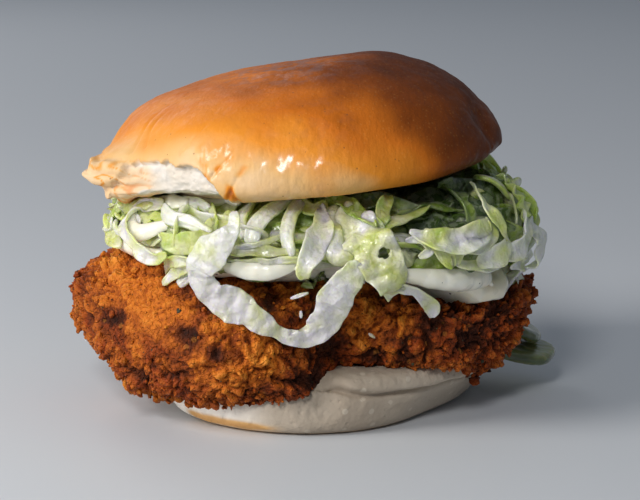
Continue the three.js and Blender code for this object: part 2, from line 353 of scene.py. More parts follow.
# %% A finish
class Finish:
    def __init__(self, name, **settings):
        self.material = bpy.data.materials.new(name)
        self.material.use_nodes = True
        self.tree = self.material.node_tree
        self.shader = self.tree.nodes["Principled BSDF"]
        self.place = self.tree.nodes.new("ShaderNodeTexCoord").outputs["Object"]
        self.relief = None
        for label, value in settings.items():
            self.shader.inputs[label.replace("_", " ")].default_value = value

    def note(self, name):
        node = self.tree.nodes.new("ShaderNodeAttribute")
        node.attribute_name = name
        return node.outputs["Fac"]

    def group(self, group, vector=None, **values):
        node = self.tree.nodes.new("ShaderNodeGroup")
        node.node_tree = group
        self.tree.links.new(vector or self.place, node.inputs["Vector"])
        for label, value in values.items():
            plug(self.tree, node.inputs[label], value)
        return node.outputs[0]

    def maths(self, *words, **options):
        return maths(self.tree, *words, **options)

    def range(self, *words):
        return stretch_range(self.tree, *words)

    def stretched(self, scale):
        """The coordinates squeezed by three factors, so that marks come out longer one way."""
        node = self.tree.nodes.new("ShaderNodeMapping")
        node.inputs["Scale"].default_value = scale
        self.tree.links.new(self.place, node.inputs["Vector"])
        return node.outputs[0]

    def colours(self, value, stops):
        """A row of colours along a value from 0 to 1: {place: colour}."""
        node = self.tree.nodes.new("ShaderNodeValToRGB")
        row = node.color_ramp.elements
        while len(row) < len(stops):
            row.new(0.5)
        for element, (place, colour) in zip(row, sorted(stops.items())):
            element.position = place
            element.color = (*colour, 1)
        plug(self.tree, node.inputs[0], value)
        return node.outputs[0]

    def mix(self, share, first, second, blend="MIX"):
        node = self.tree.nodes.new("ShaderNodeMix")
        node.data_type = "RGBA"
        node.blend_type = blend
        plug(self.tree, node.inputs[0], share)
        for socket, colour in ((node.inputs[6], first), (node.inputs[7], second)):
            plug(self.tree, socket, (*colour, 1) if isinstance(colour, tuple) else colour)
        return node.outputs[2]

    def bump(self, height, depth):
        """Adds relief of a depth in millimetres."""
        node = self.tree.nodes.new("ShaderNodeBump")
        node.inputs["Distance"].default_value = depth * MM
        self.tree.links.new(height, node.inputs["Height"])
        if self.relief:
            self.tree.links.new(self.relief, node.inputs["Normal"])
        self.relief = node.outputs[0]

    def finish(self, piece, **linked):
        for label, value in linked.items():
            plug(self.tree, self.shader.inputs[label.replace("_", " ")], value)
        if self.relief:
            self.tree.links.new(self.relief, self.shader.inputs["Normal"])
        for one in piece if isinstance(piece, (list, tuple)) else [piece]:
            one.data.materials.clear()
            one.data.materials.append(self.material)
        print("finish", self.material.name)


# %% [markdown]
# ## The bun crown
# A soft bun is glazed and baked beside its neighbours. Its top browns, its side stays pale where it touched
# the next bun, and pulling them apart leaves a torn patch of white crumb and a flap of crust. The crown's
# points are first put in its own axes, square to its tilted cut face: how far round, how far out and how
# high above the cut. Then the torn patch, the flap's folds and the dent are places that can be named in
# degrees and millimetres.

# %% The crown's own axes
CROWN_ROLL = math.radians(5.6)
CROWN_RADIUS = 52.5

crown = even_skin("bun_crown", "bun_crown_soft", 2.15, 5, 2)
crown_low, crown_high = (np.array(corner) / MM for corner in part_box("bun_crown"))
CUT_ABOVE_LOWEST = 3.7
crown_middle = (crown_low + crown_high) / 2
crown_middle[[0, 2]] = crown_high[0] - CROWN_RADIUS, crown_low[2] + CUT_ABOVE_LOWEST
crown_along = np.array([math.cos(CROWN_ROLL), 0, math.sin(CROWN_ROLL)])
crown_up = np.array([-math.sin(CROWN_ROLL), 0, math.cos(CROWN_ROLL)])


def crown_places(points):
    """How far round in degrees, how far out, and how high above the cut face each point is."""
    away = points - crown_middle
    along, across, height = away @ crown_along, away[:, 1], away @ crown_up
    return np.degrees(np.arctan2(across, along)) % 360, np.hypot(along, across), height


print("crown's cut face is", round(crown_middle[2]), "mm up")

# %% Places on the crown
# turns are in degrees, heights above the cut face and widths in mm
FLAP_TURN, FLAP_HEIGHT = 201, 8.5
TEAR_TURN, TEAR_TOP = 226, 12
DENT = crown_middle + [47.5, -15, 15]
# creases in the flap and scars beside it: from one (turn, height) to another, and how wide
FLAP_CREASES = [((212, 14), (204, 24), 0.6), ((216, 15), (210, 22), 0.5), ((232, 14), (238, 20), 0.5)]
SCARS = [((243, 3), (240, 15), 0.5), ((246, 1), (254, 11), 0.4)]
SCARS += [((250, 1), (249, 7), 0.5), ((244, 9), (249, 13), 0.4)]
# where the film of egg wash is thick: turn, height, how wide, how tall and how strong
GLOSS_SPOTS = [(270, 10, 9, 9, 1.8), (257, 13, 9, 8, 1.2), (282, 18, 8, 5, 0.8)]
GLOSS_SPOTS += [(247, 11, 7, 8, 1.2), (345, 9, 20, 6, 0.25)]


def torn_share(points):
    """1 on the torn crumb and 0 on the crust, with a ragged edge between them."""
    turn, out, height = crown_places(points)
    beside = np.abs(turn_from(turn, TEAR_TURN))
    ragged = 1.6 * soft_noise(points, 7, 11) + 1.1 * soft_noise(points, 2.4, 12)
    ragged += 0.5 * soft_noise(points, 1.1, 10)
    top = TEAR_TOP * (1 - rise(beside, 8, 24) ** 1.5) + ragged
    return rise(out, 38, 44) * (1 - rise(beside, 20, 24)) * band(height, -1.8, 0.2, top - 0.5, top + 0.1)


def line_share(turn, height, start, end, width):
    """1 along a straight line on the bun's side, from one (turn, height) to another, fading over width."""
    across = np.stack([np.radians(turn_from(turn, start[0])) * CROWN_RADIUS, height - start[1]], -1)
    run = np.array([math.radians(end[0] - start[0]) * CROWN_RADIUS, end[1] - start[1]])
    share = np.clip(across @ run / (run @ run), 0, 1)
    return bump(np.linalg.norm(across - share[:, None] * run, axis=1), width) * (1 - 0.7 * share)


def scarred(points, turn, height, widen):
    """1 along the scars where the next bun was pulled away, each of them crooked."""
    bent = 1.6 * soft_noise(points, 4, 24)
    return sum(line_share(turn + bent, height + bent, *ends, widen * width) for *ends, width in SCARS)


def gloss_share(points, turn, height):
    """Where the film of egg wash is thick: in spots at the side, and along the top at the left."""
    gloss = 0.8 * rise(height, 25.5, 28) * rise(crown_middle[0] - points[:, 0], -20, 0)
    for spot_turn, spot_height, wide, tall, strength in GLOSS_SPOTS:
        gloss += strength * bump(turn_from(turn, spot_turn), wide) * bump(height - spot_height, tall)
    return gloss


print(len(FLAP_CREASES), "creases,", len(SCARS), "scars and", len(GLOSS_SPOTS), "glossy spots on the crown")

# %% [markdown]
# The sculpting is a sum of small moves. Most go straight in or out of the skin: the lumpy dome, the
# wrinkles, the dent, the flap's layers and the hollow of the tear. A few pull the skin another way: the
# flap's tip, hem and skirt are drawn out, and the rim is drawn down.


# %% Sculpting the crown
def flap_folds(points, turn, out, height):
    """Where the flap is, from 0 to 1, and the layers that it lies in, in mm."""
    round_flap = turn_from(turn, FLAP_TURN)
    on_flap = bump(round_flap, 13) * rise(out, 40, 50) * band(height, -1, 2, 11, 14)
    layers = np.sin(1.9 * height + 2.5 * soft_noise(points, 7, 13) + 0.05 * round_flap)
    return on_flap, on_flap * (0.75 * layers + 0.5 * soft_noise(points * [1, 1, 1.6], 2.6, 14))


def crown_wrinkles(points, turn, height):
    """Fine relief in mm: wrinkles at the left, the flap's creases, the scars and the film of egg wash."""
    slope = rise(-turn_from(turn, 180), -75, 10) * band(height, 4, 12, 21, 29)
    relief = -0.22 * slope * np.abs(soft_noise(points * [1.6, 1, 0.45], 4, 17)) ** 0.6
    for start, end, width in FLAP_CREASES:
        relief -= 0.5 * line_share(turn, height, start, end, width)
        relief += 0.25 * line_share(turn, height, (start[0] + 2, start[1]), (end[0] + 2, end[1]), 2 * width)
    relief -= 0.5 * scarred(points, turn, height, 1.0)
    film = 0.13 * soft_noise(points * [1, 1, 0.7], 1.8, 28) + 0.13 * soft_noise(points, 4, 29)
    return relief + film * np.clip(gloss_share(points, turn, height), 0, 1)


def crown_pull(turn, out, height):
    """How far the flap's tip, hem and skirt and the crown's rim are drawn out of place, in mm."""
    tip = bump(turn_from(turn, FLAP_TURN), 7) * bump(height - FLAP_HEIGHT, 2.6) * rise(out, 40, 50)
    hem = bump(turn_from(turn, FLAP_TURN + 6), 10) * bump(height - 2.5, 2.5) * rise(out, 40, 50)
    skirt = bump(turn_from(turn, FLAP_TURN + 1), 13) * bump(height - 11.5, 3.6) * rise(out, 38, 46)
    rim = bump(height, 1.6) * rise(out, 44, 50) * (0.4 + bump(turn_from(turn, 290), 35))
    pull = tip[:, None] * [-1.2, -1.2, -0.4] + hem[:, None] * [-1.6, -1.0, -1.4]
    return pull + skirt[:, None] * [-3.0, -1.0, -0.3] + rim[:, None] * [0, 0, -0.9]


def sculpt_crown():
    points, out_of = skin_of(crown)
    turn, out, height = crown_places(points)
    torn = torn_share(points)
    on_flap, folds = flap_folds(points, turn, out, height)
    dome = 0.5 * soft_noise(points, 24, 15) + 0.2 * soft_noise(points, 8, 16) * rise(height, 3, 12)
    dent = -2.2 * bump(np.linalg.norm((points - DENT) * [1, 1, 0.6], axis=1), 4.2)
    fluff = 0.7 * soft_noise(points * [1, 1, 1.8], 7, 18) + 0.3 * soft_noise(points * [1, 1, 2], 2.4, 19)
    tear = torn * (fluff + 0.12 * soft_noise(points, 1.1, 20) - 1.9 * (1 - 0.75 * on_flap))
    lip = 0.45 * bump(torn - 0.15, 0.15)
    move = dome + crown_wrinkles(points, turn, height) + dent + tear + lip + folds
    write_points(crown.data, points + out_of * move[:, None] + crown_pull(turn, out, height))
    return points


crown_points = sculpt_crown()
print("crown sculpted,", round(float(torn_share(crown_points).mean() * 100), 1), "% torn")

# %% [markdown]
# Browning is one note from 0, cream, to 1, nearly burnt. The bun stayed pale where it touched its neighbour
# at the front left. It is browner towards the top. Towards the right, and most of all low down there, the
# note is raised further, which is partly the crust's own browning and partly painted shade on the side
# away from the lamp.

# %% Browning and painted shade on the crown
# the turn of the pale side, and the turn of the side that is painted darker as shade
PALE_TURN, BROWN_TURN = 236, 350


def brown_crown(points):
    turn, out, height = crown_places(points)
    off_middle = 0.5 * rise(out, 0, 30)
    pale_side = 0.5 + off_middle * np.cos(np.radians(turn - PALE_TURN))
    # painted shade: the right side, away from the lamp, is made browner by this share
    brown_side = 0.5 + off_middle * np.cos(np.radians(turn - BROWN_TURN))
    pale_top = 2 + 14 * pale_side**3 + 2.5 * soft_noise(points, 16, 21)
    level = rise(height, pale_top - 9, pale_top + 11)
    top = rise(height, 17, 30) * (0.75 + 0.3 * soft_noise(points, 20, 22))
    # the right side's terms are partly the crust's own browning and partly painted shade
    brown = 0.1 + 0.44 * np.maximum(level, brown_side**6) + 0.4 * brown_side**3 + 0.2 * top
    brown += 0.07 * soft_noise(points, 9, 23)
    # painted shade low down at the right
    brown += 0.2 * band(turn, 298, 314, 340, 356) * (1 - rise(height, 5, 18))
    on_flap = bump(turn_from(turn, FLAP_TURN + 4), 22) * rise(out, 42, 48) * (1 - rise(height, 9, 13))
    on_flap *= 1 - rise(turn + 3 * soft_noise(points, 5, 27), 218, 223)
    brown = brown * (1 - 0.6 * on_flap) + 0.05 * on_flap
    brown += 0.36 * on_flap * rise(-np.abs(soft_noise(points * [1, 1, 2.2], 5, 25)), -0.16, -0.02)
    brown += bump(height - 0.7, 0.8) * rise(out, 46, 50) * (0.3 + 0.3 * soft_noise(points, 8, 24))
    brown += 0.5 * scarred(points, turn, height, 2.2) * rise(soft_noise(points, 3, 26), -0.4, 0.3)
    under = rise(-height, -0.6, 0.6) * (1 - rise(out, 46, 51))
    skinned = on_flap * rise(soft_noise(points * [1, 1, 1.6], 6, 30), -0.5, -0.1)
    note(crown.data, "brown", brown * (1 - under))
    note(crown.data, "torn", np.maximum(torn_share(points) * (1 - 0.9 * skinned), under))
    note(crown.data, "gloss", gloss_share(points, turn, height))
    print("mean browning", round(float(brown.mean()), 2))


brown_crown(crown_points)

# %% [markdown]
# The crust is a row of colours read along the browning note, with its painted shade at the right, from
# cream through gold to red-brown, with fine pale blisters and a few scorched spots. Egg wash dries in
# patches, and where it is thick it breaks the light into glints. It is the shader's coat: a note says where
# the film lies, mottling breaks it up, and its roughness is one number. The crumb under a tear is white,
# matt and full of pores.

# %% The crust's finish
CRUMB = (0.68, 0.65, 0.61)


def finish_crown():
    crust = Finish("glazed_crust", Specular_IOR_Level=0.16, Coat_Roughness=0.2)
    torn = crust.note("torn")
    cloud = crust.group(mottling, Size=0.012, Contrast=1.0)
    # the browning note carries painted shade at the right, so the crust colour read from it does too
    browning = crust.maths("MULTIPLY_ADD", cloud, 0.2, crust.maths("SUBTRACT", crust.note("brown"), 0.1))
    baked = crust.colours(
        browning,
        {
            0.0: (0.78, 0.59, 0.39),
            0.2: (0.71, 0.42, 0.165),
            0.42: (0.73, 0.255, 0.023),
            0.65: (0.56, 0.145, 0.01),
            0.85: (0.22, 0.05, 0.005),
            1.0: (0.11, 0.025, 0.004),
        },
    )
    blisters = crust.group(flecks, Size=0.0004, Share=0.3)
    spots = crust.group(flecks, Size=0.0004, Share=0.01)
    baked = crust.mix(crust.maths("MULTIPLY", blisters, 0.08), baked, (0.85, 0.45, 0.14))
    baked = crust.mix(crust.maths("MULTIPLY", spots, 0.6), baked, (0.2, 0.06, 0.015))
    crumb = crust.mix(crust.group(mottling, Size=0.005, Contrast=2.0), CRUMB, (0.7, 0.61, 0.5))
    film = crust.range(crust.group(mottling, Size=0.0032, Contrast=3.0), 0.35, 0.75)
    glaze = crust.maths("MULTIPLY", film, crust.note("gloss"), clamp=True)
    pores = crust.group(pits, Size=0.0008, Share=0.6)
    crust.bump(crust.maths("MULTIPLY", crust.maths("MULTIPLY", pores, torn), -1.0), 0.15)
    crust.bump(crust.group(mottling, crust.stretched((1.5, 1, 0.35)), Size=0.0022, Contrast=1.5), 0.12)
    crust.bump(crust.group(mottling, Size=0.0009, Contrast=1.6), 0.07)
    crust.finish(
        crown,
        Base_Color=crust.mix(torn, baked, crumb),
        Roughness=crust.maths("MULTIPLY_ADD", torn, 0.35, crust.range(film, 0.0, 1.0, 0.55, 0.45)),
        Coat_Weight=glaze,
    )


finish_crown()

# %% [markdown]
# ## The bun heel
# The bottom half carries the weight. It spreads a little, its crumb is squeezed out over a crease at the
# right front, and the fillet's lobe dents it beside that. Its side is pale, and only the edge that met the
# baking tray is toasted. Light and shade are painted into its colour: lighter at the left, where the low
# lamp falls, and darker at the front, under the fillet's lobe. Two notes say how toasted each point is and
# how much painted light and shade it has.

# %% Sculpting the heel
heel = even_skin("bun_heel", "bun_heel_soft", 1.75, 7, 2)
heel_low, heel_high = (np.array(corner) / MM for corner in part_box("bun_heel"))
heel_middle = (heel_low + heel_high) / 2
# the crease's height in mm, and the turns in degrees between which crumb bulges over it
CREASE_HEIGHT = 11.1
LIP_START, LIP_END = 268, 350


def sculpt_heel():
    points, out_of = skin_of(heel)
    away = points - heel_middle
    turn, out, height = turn_of(away), np.hypot(away[:, 0], away[:, 1]), points[:, 2]
    side = rise(out, 34, 42) * rise(height, 0.4, 2.0)
    pressed = bump(turn_from(turn, LIP_START), 7) * rise(height, 3, 10)
    pinches = -pressed * (1.5 + 1.1 * np.abs(soft_noise(points * [1.4, 1, 0.7], 4.2, 31)))
    lumps = 0.5 * soft_noise(points, 15, 32) + 0.22 * soft_noise(points, 5, 33)
    grain, _ = pebbles(points, 1.7, 34)
    above = height - CREASE_HEIGHT - 3.2 * bump(turn - LIP_START, 9) - 0.4 * soft_noise(points, 8, 38)
    lip = 1.9 * band(above, -0.4, 0.7, 2.8, 5.5) - 1.4 * bump(above + 0.5, 0.8)
    lip *= band(turn, LIP_START - 4, LIP_START + 2, LIP_END - 12, LIP_END)
    write_points(heel.data, points + out_of * (side * (pinches + lumps + 0.1 * grain) + lip)[:, None])
    return points, turn, height


def toast_heel(points, turn, height):
    start = 215 + 12 * soft_noise(points, 20, 35)
    edge = band(turn, start, start + 14, 244, 262) * bump(height - 2.2, 1.5 + 0.6 * soft_noise(points, 7, 36))
    under = (1 - rise(height, 0.1, 1.1)) * (0.8 + 0.3 * soft_noise(points, 9, 37))
    note(heel.data, "toasted", 0.6 * edge + 0.5 * under)
    # painted light and shade: lighter at the left, where the low lamp falls, and darker at the front, under
    # the fillet's lobe
    floury = 0.5 + 0.5 * bump(turn_from(turn, 222), 32) - 0.32 * bump(turn_from(turn, 275), 26)
    note(heel.data, "floury", floury)
    print("the heel is", round(float(floury.mean()), 2), "floury on average")


toast_heel(*sculpt_heel())


# %% The heel's finish
def finish_heel():
    bread = Finish("soft_bread", Specular_IOR_Level=0.3)
    cloud = bread.group(mottling, Size=0.009, Contrast=1.6)
    pale = bread.mix(cloud, (0.64, 0.54, 0.42), (0.75, 0.66, 0.54))
    # painted shade: a darker copy of the pale colour for the front; painted light: a lighter colour for the
    # left
    dull = bread.mix(1.0, pale, (0.49, 0.45, 0.42), "MULTIPLY")
    pale = bread.mix(bread.note("floury"), dull, pale)
    pale = bread.mix(bread.range(bread.note("floury"), 0.5, 1.0), pale, (0.98, 0.93, 0.85))
    crumbs = bread.group(flecks, Size=0.0012, Share=0.2)
    pale = bread.mix(bread.maths("MULTIPLY", crumbs, 0.25), pale, (0.85, 0.78, 0.64))
    toast = bread.colours(
        bread.note("toasted"), {0.0: (0.72, 0.6, 0.44), 0.45: (0.72, 0.42, 0.16), 1.0: (0.5, 0.2, 0.05)}
    )
    share = bread.range(bread.note("toasted"), 0.05, 0.5)
    bread.bump(bread.group(mottling, Size=0.0016, Contrast=1.5), 0.22)
    bread.bump(bread.maths("MULTIPLY", bread.group(pits, Size=0.001, Share=0.35), -1.0), 0.16)
    rough = bread.range(cloud, 0, 1, 0.72, 0.86)
    bread.finish(heel, Base_Color=bread.mix(share, pale, toast), Roughness=rough)


finish_heel()

# %% [markdown]
# ## The fried fillet
# Flour and buttermilk dry on the meat as a coat of crags: lumps as wide as a fingertip, nodules a few
# millimetres across on those, and grit on the nodules. Three sizes of pebble noise are added up, on points
# that soft noise has bent, so that no two pebbles are alike. Where the coat was pressed it is smoother, so
# the crags have a strength that changes over the fillet. The clefts are painted dark as shade and the crests
# are orange-gold, so the total height is kept as a note.

# %% Sculpting the fillet
fillet = even_skin("chicken_fillet", "chicken_fillet_fried", 0.62, 30, 0)
fillet_low, fillet_high = (np.array(corner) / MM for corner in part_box("chicken_fillet"))
SMOOTH_PATCH = np.array([fillet_low[0] + 22, fillet_low[1] + 10, 33])
LOBE_END = np.array([heel_middle[0] - 5, fillet_low[1] + 9, 15])
SHOULDER = np.array([heel_middle[0] + 28, fillet_low[1] + 13])
# marks on the fillet's front: how far along it and how far up it, as shares of its box, and the size in mm
# dark hollows: sunk into the coat and darker in colour
BURNT = [(0.27, 0.57, 3.2), (0.11, 0.59, 2.6), (0.44, 0.75, 2.2), (0.33, 0.46, 2.8), (0.56, 0.44, 3.0)]
BURNT += [(0.72, 0.44, 2.8), (0.78, 0.6, 3.2), (0.85, 0.45, 3.8), (0.64, 0.34, 2.4), (0.91, 0.62, 3.0)]
BURNT += [(0.52, 0.24, 5.0)]
GOLDEN = [(0.2, 0.69, 7), (0.1, 0.84, 6), (0.42, 0.46, 5), (0.35, 0.56, 5), (0.46, 0.8, 4), (0.64, 0.57, 4)]
GOLDEN += [(0.7, 0.57, 3)]
BASE_CLEARANCE = 2.2  # how far the fillet stays above what the burger stands on, in mm


def bent_by(points, amount, size, seed):
    """The points moved about by soft noise, so that what is made from them is crooked."""
    return points + amount * np.stack([soft_noise(points, size, seed + k) for k in range(3)], -1)


def marks(points, places):
    """1 at the middle of each of the marks on the front, fading outwards with a ragged edge."""
    share = np.zeros(len(points))
    shift = 1.5 * np.stack([soft_noise(points, 4, 58 + k) for k in range(2)], -1)
    for along, up, size in places:
        middle = fillet_low + (fillet_high - fillet_low) * [along, 0, up]
        away = np.linalg.norm(points[:, [0, 2]] + shift - middle[[0, 2]], axis=1)
        share = np.maximum(share, bump(away, size) * (points[:, 1] < -8))
    return share


def crag_height(points):
    """Relief of the fried coat in millimetres, how craggy the coat is there from 0 to 1, and the grit."""
    rough = 0.8 + 0.4 * soft_noise(points, 20, 41) + 0.25 * rise(points[:, 0], -5, 45)
    rough -= 0.45 * bump(np.linalg.norm((points - SMOOTH_PATCH) * [0.8, 0.6, 1], axis=1), 13)
    rough = np.clip(rough + 0.25 * rise(-points[:, 2], -16, -7), 0.3, 1.2)
    bent = bent_by(points, 2.2, 5, 42)
    lumps, _ = pebbles(bent, 8.5, 45)
    nodules, own = pebbles(bent, 3.7, 46)
    fine_bent = bent + bent_by(points, 0.8, 1.9, 47) - points
    grit, grit_own = pebbles(fine_bent, 1.7, 50)
    cracks = bump(soft_noise(bent, 9, 56), 0.09) + 0.7 * bump(soft_noise(bent, 5, 57), 0.08)
    height = 1.6 * lumps + 2.0 * nodules * (0.2 + 1.2 * own) + 1.0 * grit * (0.3 + grit_own) - 1.3 * cracks
    return rough * (height - 2.2), rough, grit


def sculpt_fillet():
    points, out_of = skin_of(fillet)
    relief, rough, grit = crag_height(points)
    burnt = marks(points, BURNT)
    relief -= 1.7 * burnt
    swell = 1.1 * soft_noise(points, 17, 52)
    moved = points + out_of * (relief + swell)[:, None]
    lobe_end = bump(np.linalg.norm((points - LOBE_END) * [1, 0.4, 1], axis=1), 6)
    moved += lobe_end[:, None] * [2.5, -1, -3.5]
    shoulder = bump(np.linalg.norm((points[:, :2] - SHOULDER) * [0.6, 1], axis=1), 7)
    moved += (shoulder * rise(points[:, 2], 24, 35))[:, None] * [0, -0.5, 4.2]
    moved[:, 2] = np.maximum(moved[:, 2], BASE_CLEARANCE)
    write_points(fillet.data, moved)
    note(fillet.data, "crag", 0.5 + relief / 4.6 - 0.2 * burnt)
    note(fillet.data, "grit", grit)
    gold = 0.42 + 0.4 * soft_noise(points, 15, 53) + 0.35 * soft_noise(points, 5, 54)
    gold += 0.55 * marks(points, GOLDEN) - 0.6 * burnt
    # painted shade: the coat is made less golden towards the right, away from the lamp
    note(fillet.data, "gold", gold - 0.35 * rise(points[:, 0], 5, 50))
    print("crags from", round(float(relief.min()), 1), "to", round(float(relief.max()), 1), "mm")
    return rough


fillet_rough = sculpt_fillet()

# %% [markdown]
# Crumbs of batter cling to the crags and make the outline ragged, which no smooth skin can do. Each is a
# small ball with its own lumps, stretched and turned at random, and half sunk in the coat. They share the
# coat's material, and take their browning, with its painted shade at the right, from the spot that they sit
# on. Each is also painted lighter on top and darker underneath, which is painted light and shade. Herb
# flakes are made in the same way but squashed flat.

# %% Crumbs and herb flakes
crumb_chance = np.random.default_rng(11)


def small_ball(finer):
    shape = bmesh.new()
    bmesh.ops.create_icosphere(shape, subdivisions=finer, radius=1)
    points = np.array([vertex.co for vertex in shape.verts])
    faces = np.array([[vertex.index for vertex in face.verts] for face in shape.faces])
    shape.free()
    return points, faces


def spin_at(facing, flat):
    """Three axes for one crumb: any three, or for a flat flake its plane and the way the coat faces."""
    spin, _ = np.linalg.qr(crumb_chance.normal(size=(3, 3)))
    if not flat:
        return spin
    side = unit(np.cross(facing, spin[0]))
    return np.array([side, np.cross(facing, side), facing])


def scatter(name, count, share, finer, sizes, thickness):
    """Small lumps on the fillet, more of them where the share is high, made thinner by a factor."""
    points, out_of = skin_of(fillet)
    ball, faces = small_ball(finer)
    gold = np.empty(len(points))
    fillet.data.attributes["gold"].data.foreach_get("value", gold)
    placed, golds, crags = [], [], []
    for k, spot in enumerate(crumb_chance.choice(len(points), count, p=share / share.sum())):
        size = sizes[0] + (sizes[1] - sizes[0]) * crumb_chance.random() ** 3
        stretch = size * crumb_chance.uniform(0.5, 1.3, 3) * [1, 1, thickness]
        spin = spin_at(out_of[spot], thickness < 0.5)
        lumpy = ball * (1 + 0.6 * soft_noise(ball * 1.3 + 9 * k, 1.1, 55))[:, None] * stretch @ spin
        placed.append(lumpy + points[spot] + out_of[spot] * 0.25 * size * thickness)
        golds.append(np.full(len(ball), gold[spot] + crumb_chance.uniform(-0.15, 0.1)))
        # painted light and shade: a crumb's crag note is higher on its top and lower underneath
        crags.append(0.5 + 0.3 * (lumpy @ out_of[spot]) / size + crumb_chance.uniform(-0.12, 0.12))
    placed = np.concatenate(placed)
    placed[:, 2] = np.maximum(placed[:, 2], 1.5)
    mesh = bpy.data.meshes.new(name)
    every_face = np.concatenate([faces + k * len(ball) for k in range(count)])
    mesh.from_pydata(placed * MM, [], every_face.tolist())
    mesh.shade_smooth()
    piece = add_piece(name, mesh)
    note(mesh, "gold", np.concatenate(golds))
    note(mesh, "crag", np.concatenate(crags))
    note(mesh, "grit", np.full(len(placed), 0.5))
    print(name, len(mesh.polygons), "triangles")
    return piece


crumb_share = fillet_rough**2 * (0.6 + rise(-read_points(fillet.data)[:, 2], -14, -5))
crumbs = scatter("fried_crumbs", 1500, crumb_share, 2, (0.35, 1.5), 1.0)
herbs = scatter("herb_flakes", 160, fillet_rough, 1, (0.3, 0.75), 0.18)

# %% [markdown]
# The colour follows the relief: nearly black-brown in the clefts, red-brown on the slopes and orange-gold on
# the crests; the dark clefts are painted shade. It is lighter where less oil was taken up, and darker towards
# the right, which is painted shade on the side away from the lamp. Frying oil leaves the crests a little
# shiny and the clefts dull. Pale crumbs and grains of pepper are flecks of two sizes.


# %% The fried coat's finish
def coat_colour(coat):
    """The coat's colour, with painted shade in the clefts, and how high each place is from 0 to 1."""
    height = coat.maths("MULTIPLY", coat.note("crag"), 0.72)
    height = coat.maths("MULTIPLY_ADD", coat.note("grit"), 0.22, height)
    grain = coat.group(mottling, Size=0.0011, Contrast=1.6)
    height = coat.maths("MULTIPLY_ADD", grain, 0.16, coat.maths("SUBTRACT", height, 0.05))
    # painted shade: both rows run to near-black at the lowest heights, in the clefts
    dark_fry = {0.0: (0.014, 0.003, 0.001), 0.3: (0.07, 0.013, 0.002)}
    dark_fry |= {0.52: (0.27, 0.042, 0.003), 0.9: (0.53, 0.13, 0.011)}
    light_fry = {0.0: (0.04, 0.008, 0.001), 0.28: (0.26, 0.05, 0.004)}
    light_fry |= {0.5: (0.57, 0.145, 0.009), 0.9: (0.8, 0.29, 0.032)}
    # the gold note carries painted shade at the right
    share = coat.range(coat.note("gold"), 0.15, 0.8)
    fried = coat.mix(share, coat.colours(height, dark_fry), coat.colours(height, light_fry))
    crumbs = coat.group(flecks, Size=0.0011, Share=0.16)
    fried = coat.mix(coat.maths("MULTIPLY", crumbs, 0.2), fried, (0.8, 0.3, 0.04))
    pepper = coat.group(flecks, Size=0.0004, Share=0.05)
    return coat.mix(coat.maths("MULTIPLY", pepper, 0.85), fried, (0.025, 0.018, 0.008)), height


def finish_fillet():
    coat = Finish("fried_coat", Specular_IOR_Level=0.2)
    colour, height = coat_colour(coat)
    coat.bump(coat.group(mottling, Size=0.0009, Contrast=1.8), 0.4)
    coat.bump(coat.maths("MULTIPLY", coat.group(net, Size=0.0017, Width=0.25), -1.0), 0.25)
    coat.finish([fillet, crumbs], Base_Color=colour, Roughness=coat.range(height, 0.1, 0.9, 0.75, 0.42))


def finish_herbs():
    herb = Finish("dried_herb", Roughness=0.75)
    cloud = herb.group(mottling, Size=0.002, Contrast=2.0)
    herb.finish(herbs, Base_Color=herb.mix(cloud, (0.02, 0.018, 0.008), (0.06, 0.06, 0.02)))


finish_fillet()
finish_herbs()

# %% [markdown]
# ## The mayonnaise
# It is thick enough to stand in folds and heavy enough to creep over the fillet's edge. Its skin is smooth,
# so the sculpting is slow waves, a roll that bulges out at the right front, and an edge that is drawn in
# where it stops short. Light goes a little way into it before it comes back, which subsurface scattering
# gives, and a low roughness keeps it wet.

# %% Sculpting the mayonnaise
mayo = even_skin("mayonnaise", "mayonnaise_soft", 1.2, 8, 1)

# the lower edge of the roll: turns in degrees and heights in mm
ROLL_TURNS = (290, 300, 306, 314, 318, 322, 327, 335, 342)
ROLL_HEIGHTS = (49, 47, 45, 43, 41.5, 37, 32.5, 32.5, 37)


def sculpt_mayo():
    points, out_of = skin_of(mayo)
    outward = unit((points - (points.min(0) + points.max(0)) / 2) * [1, 1, 0])
    turn, height = turn_of(outward), points[:, 2]
    waves = 0.9 * soft_noise(points * [1, 1, 1.6], 9, 61) + 0.35 * soft_noise(points, 4, 62)
    above = height - np.interp(turn, ROLL_TURNS, ROLL_HEIGHTS)
    waves += rise(turn, 296, 306) * (2.4 * bump(above - 3.5, 3.0) - 1.2 * bump(above - 9, 2))
    short = bump(turn_from(turn, 297), 14) * (1 - rise(height, 39, 43))
    short += bump(turn_from(turn, 268), 15) * (1 - rise(height, 41, 45))
    short += 3.0 * band(turn, 296, 302, 342, 350) * (1 - rise(above, -2.0, 0.5))
    write_points(mayo.data, points + out_of * waves[:, None] - outward * (5 * np.clip(short, 0, 3))[:, None])
    note(mayo.data, "seasoned", 0.5 + 0.7 * soft_noise(points, 8, 63))
    print("mayonnaise from", round(float(height.min())), "to", round(float(height.max())), "mm up")


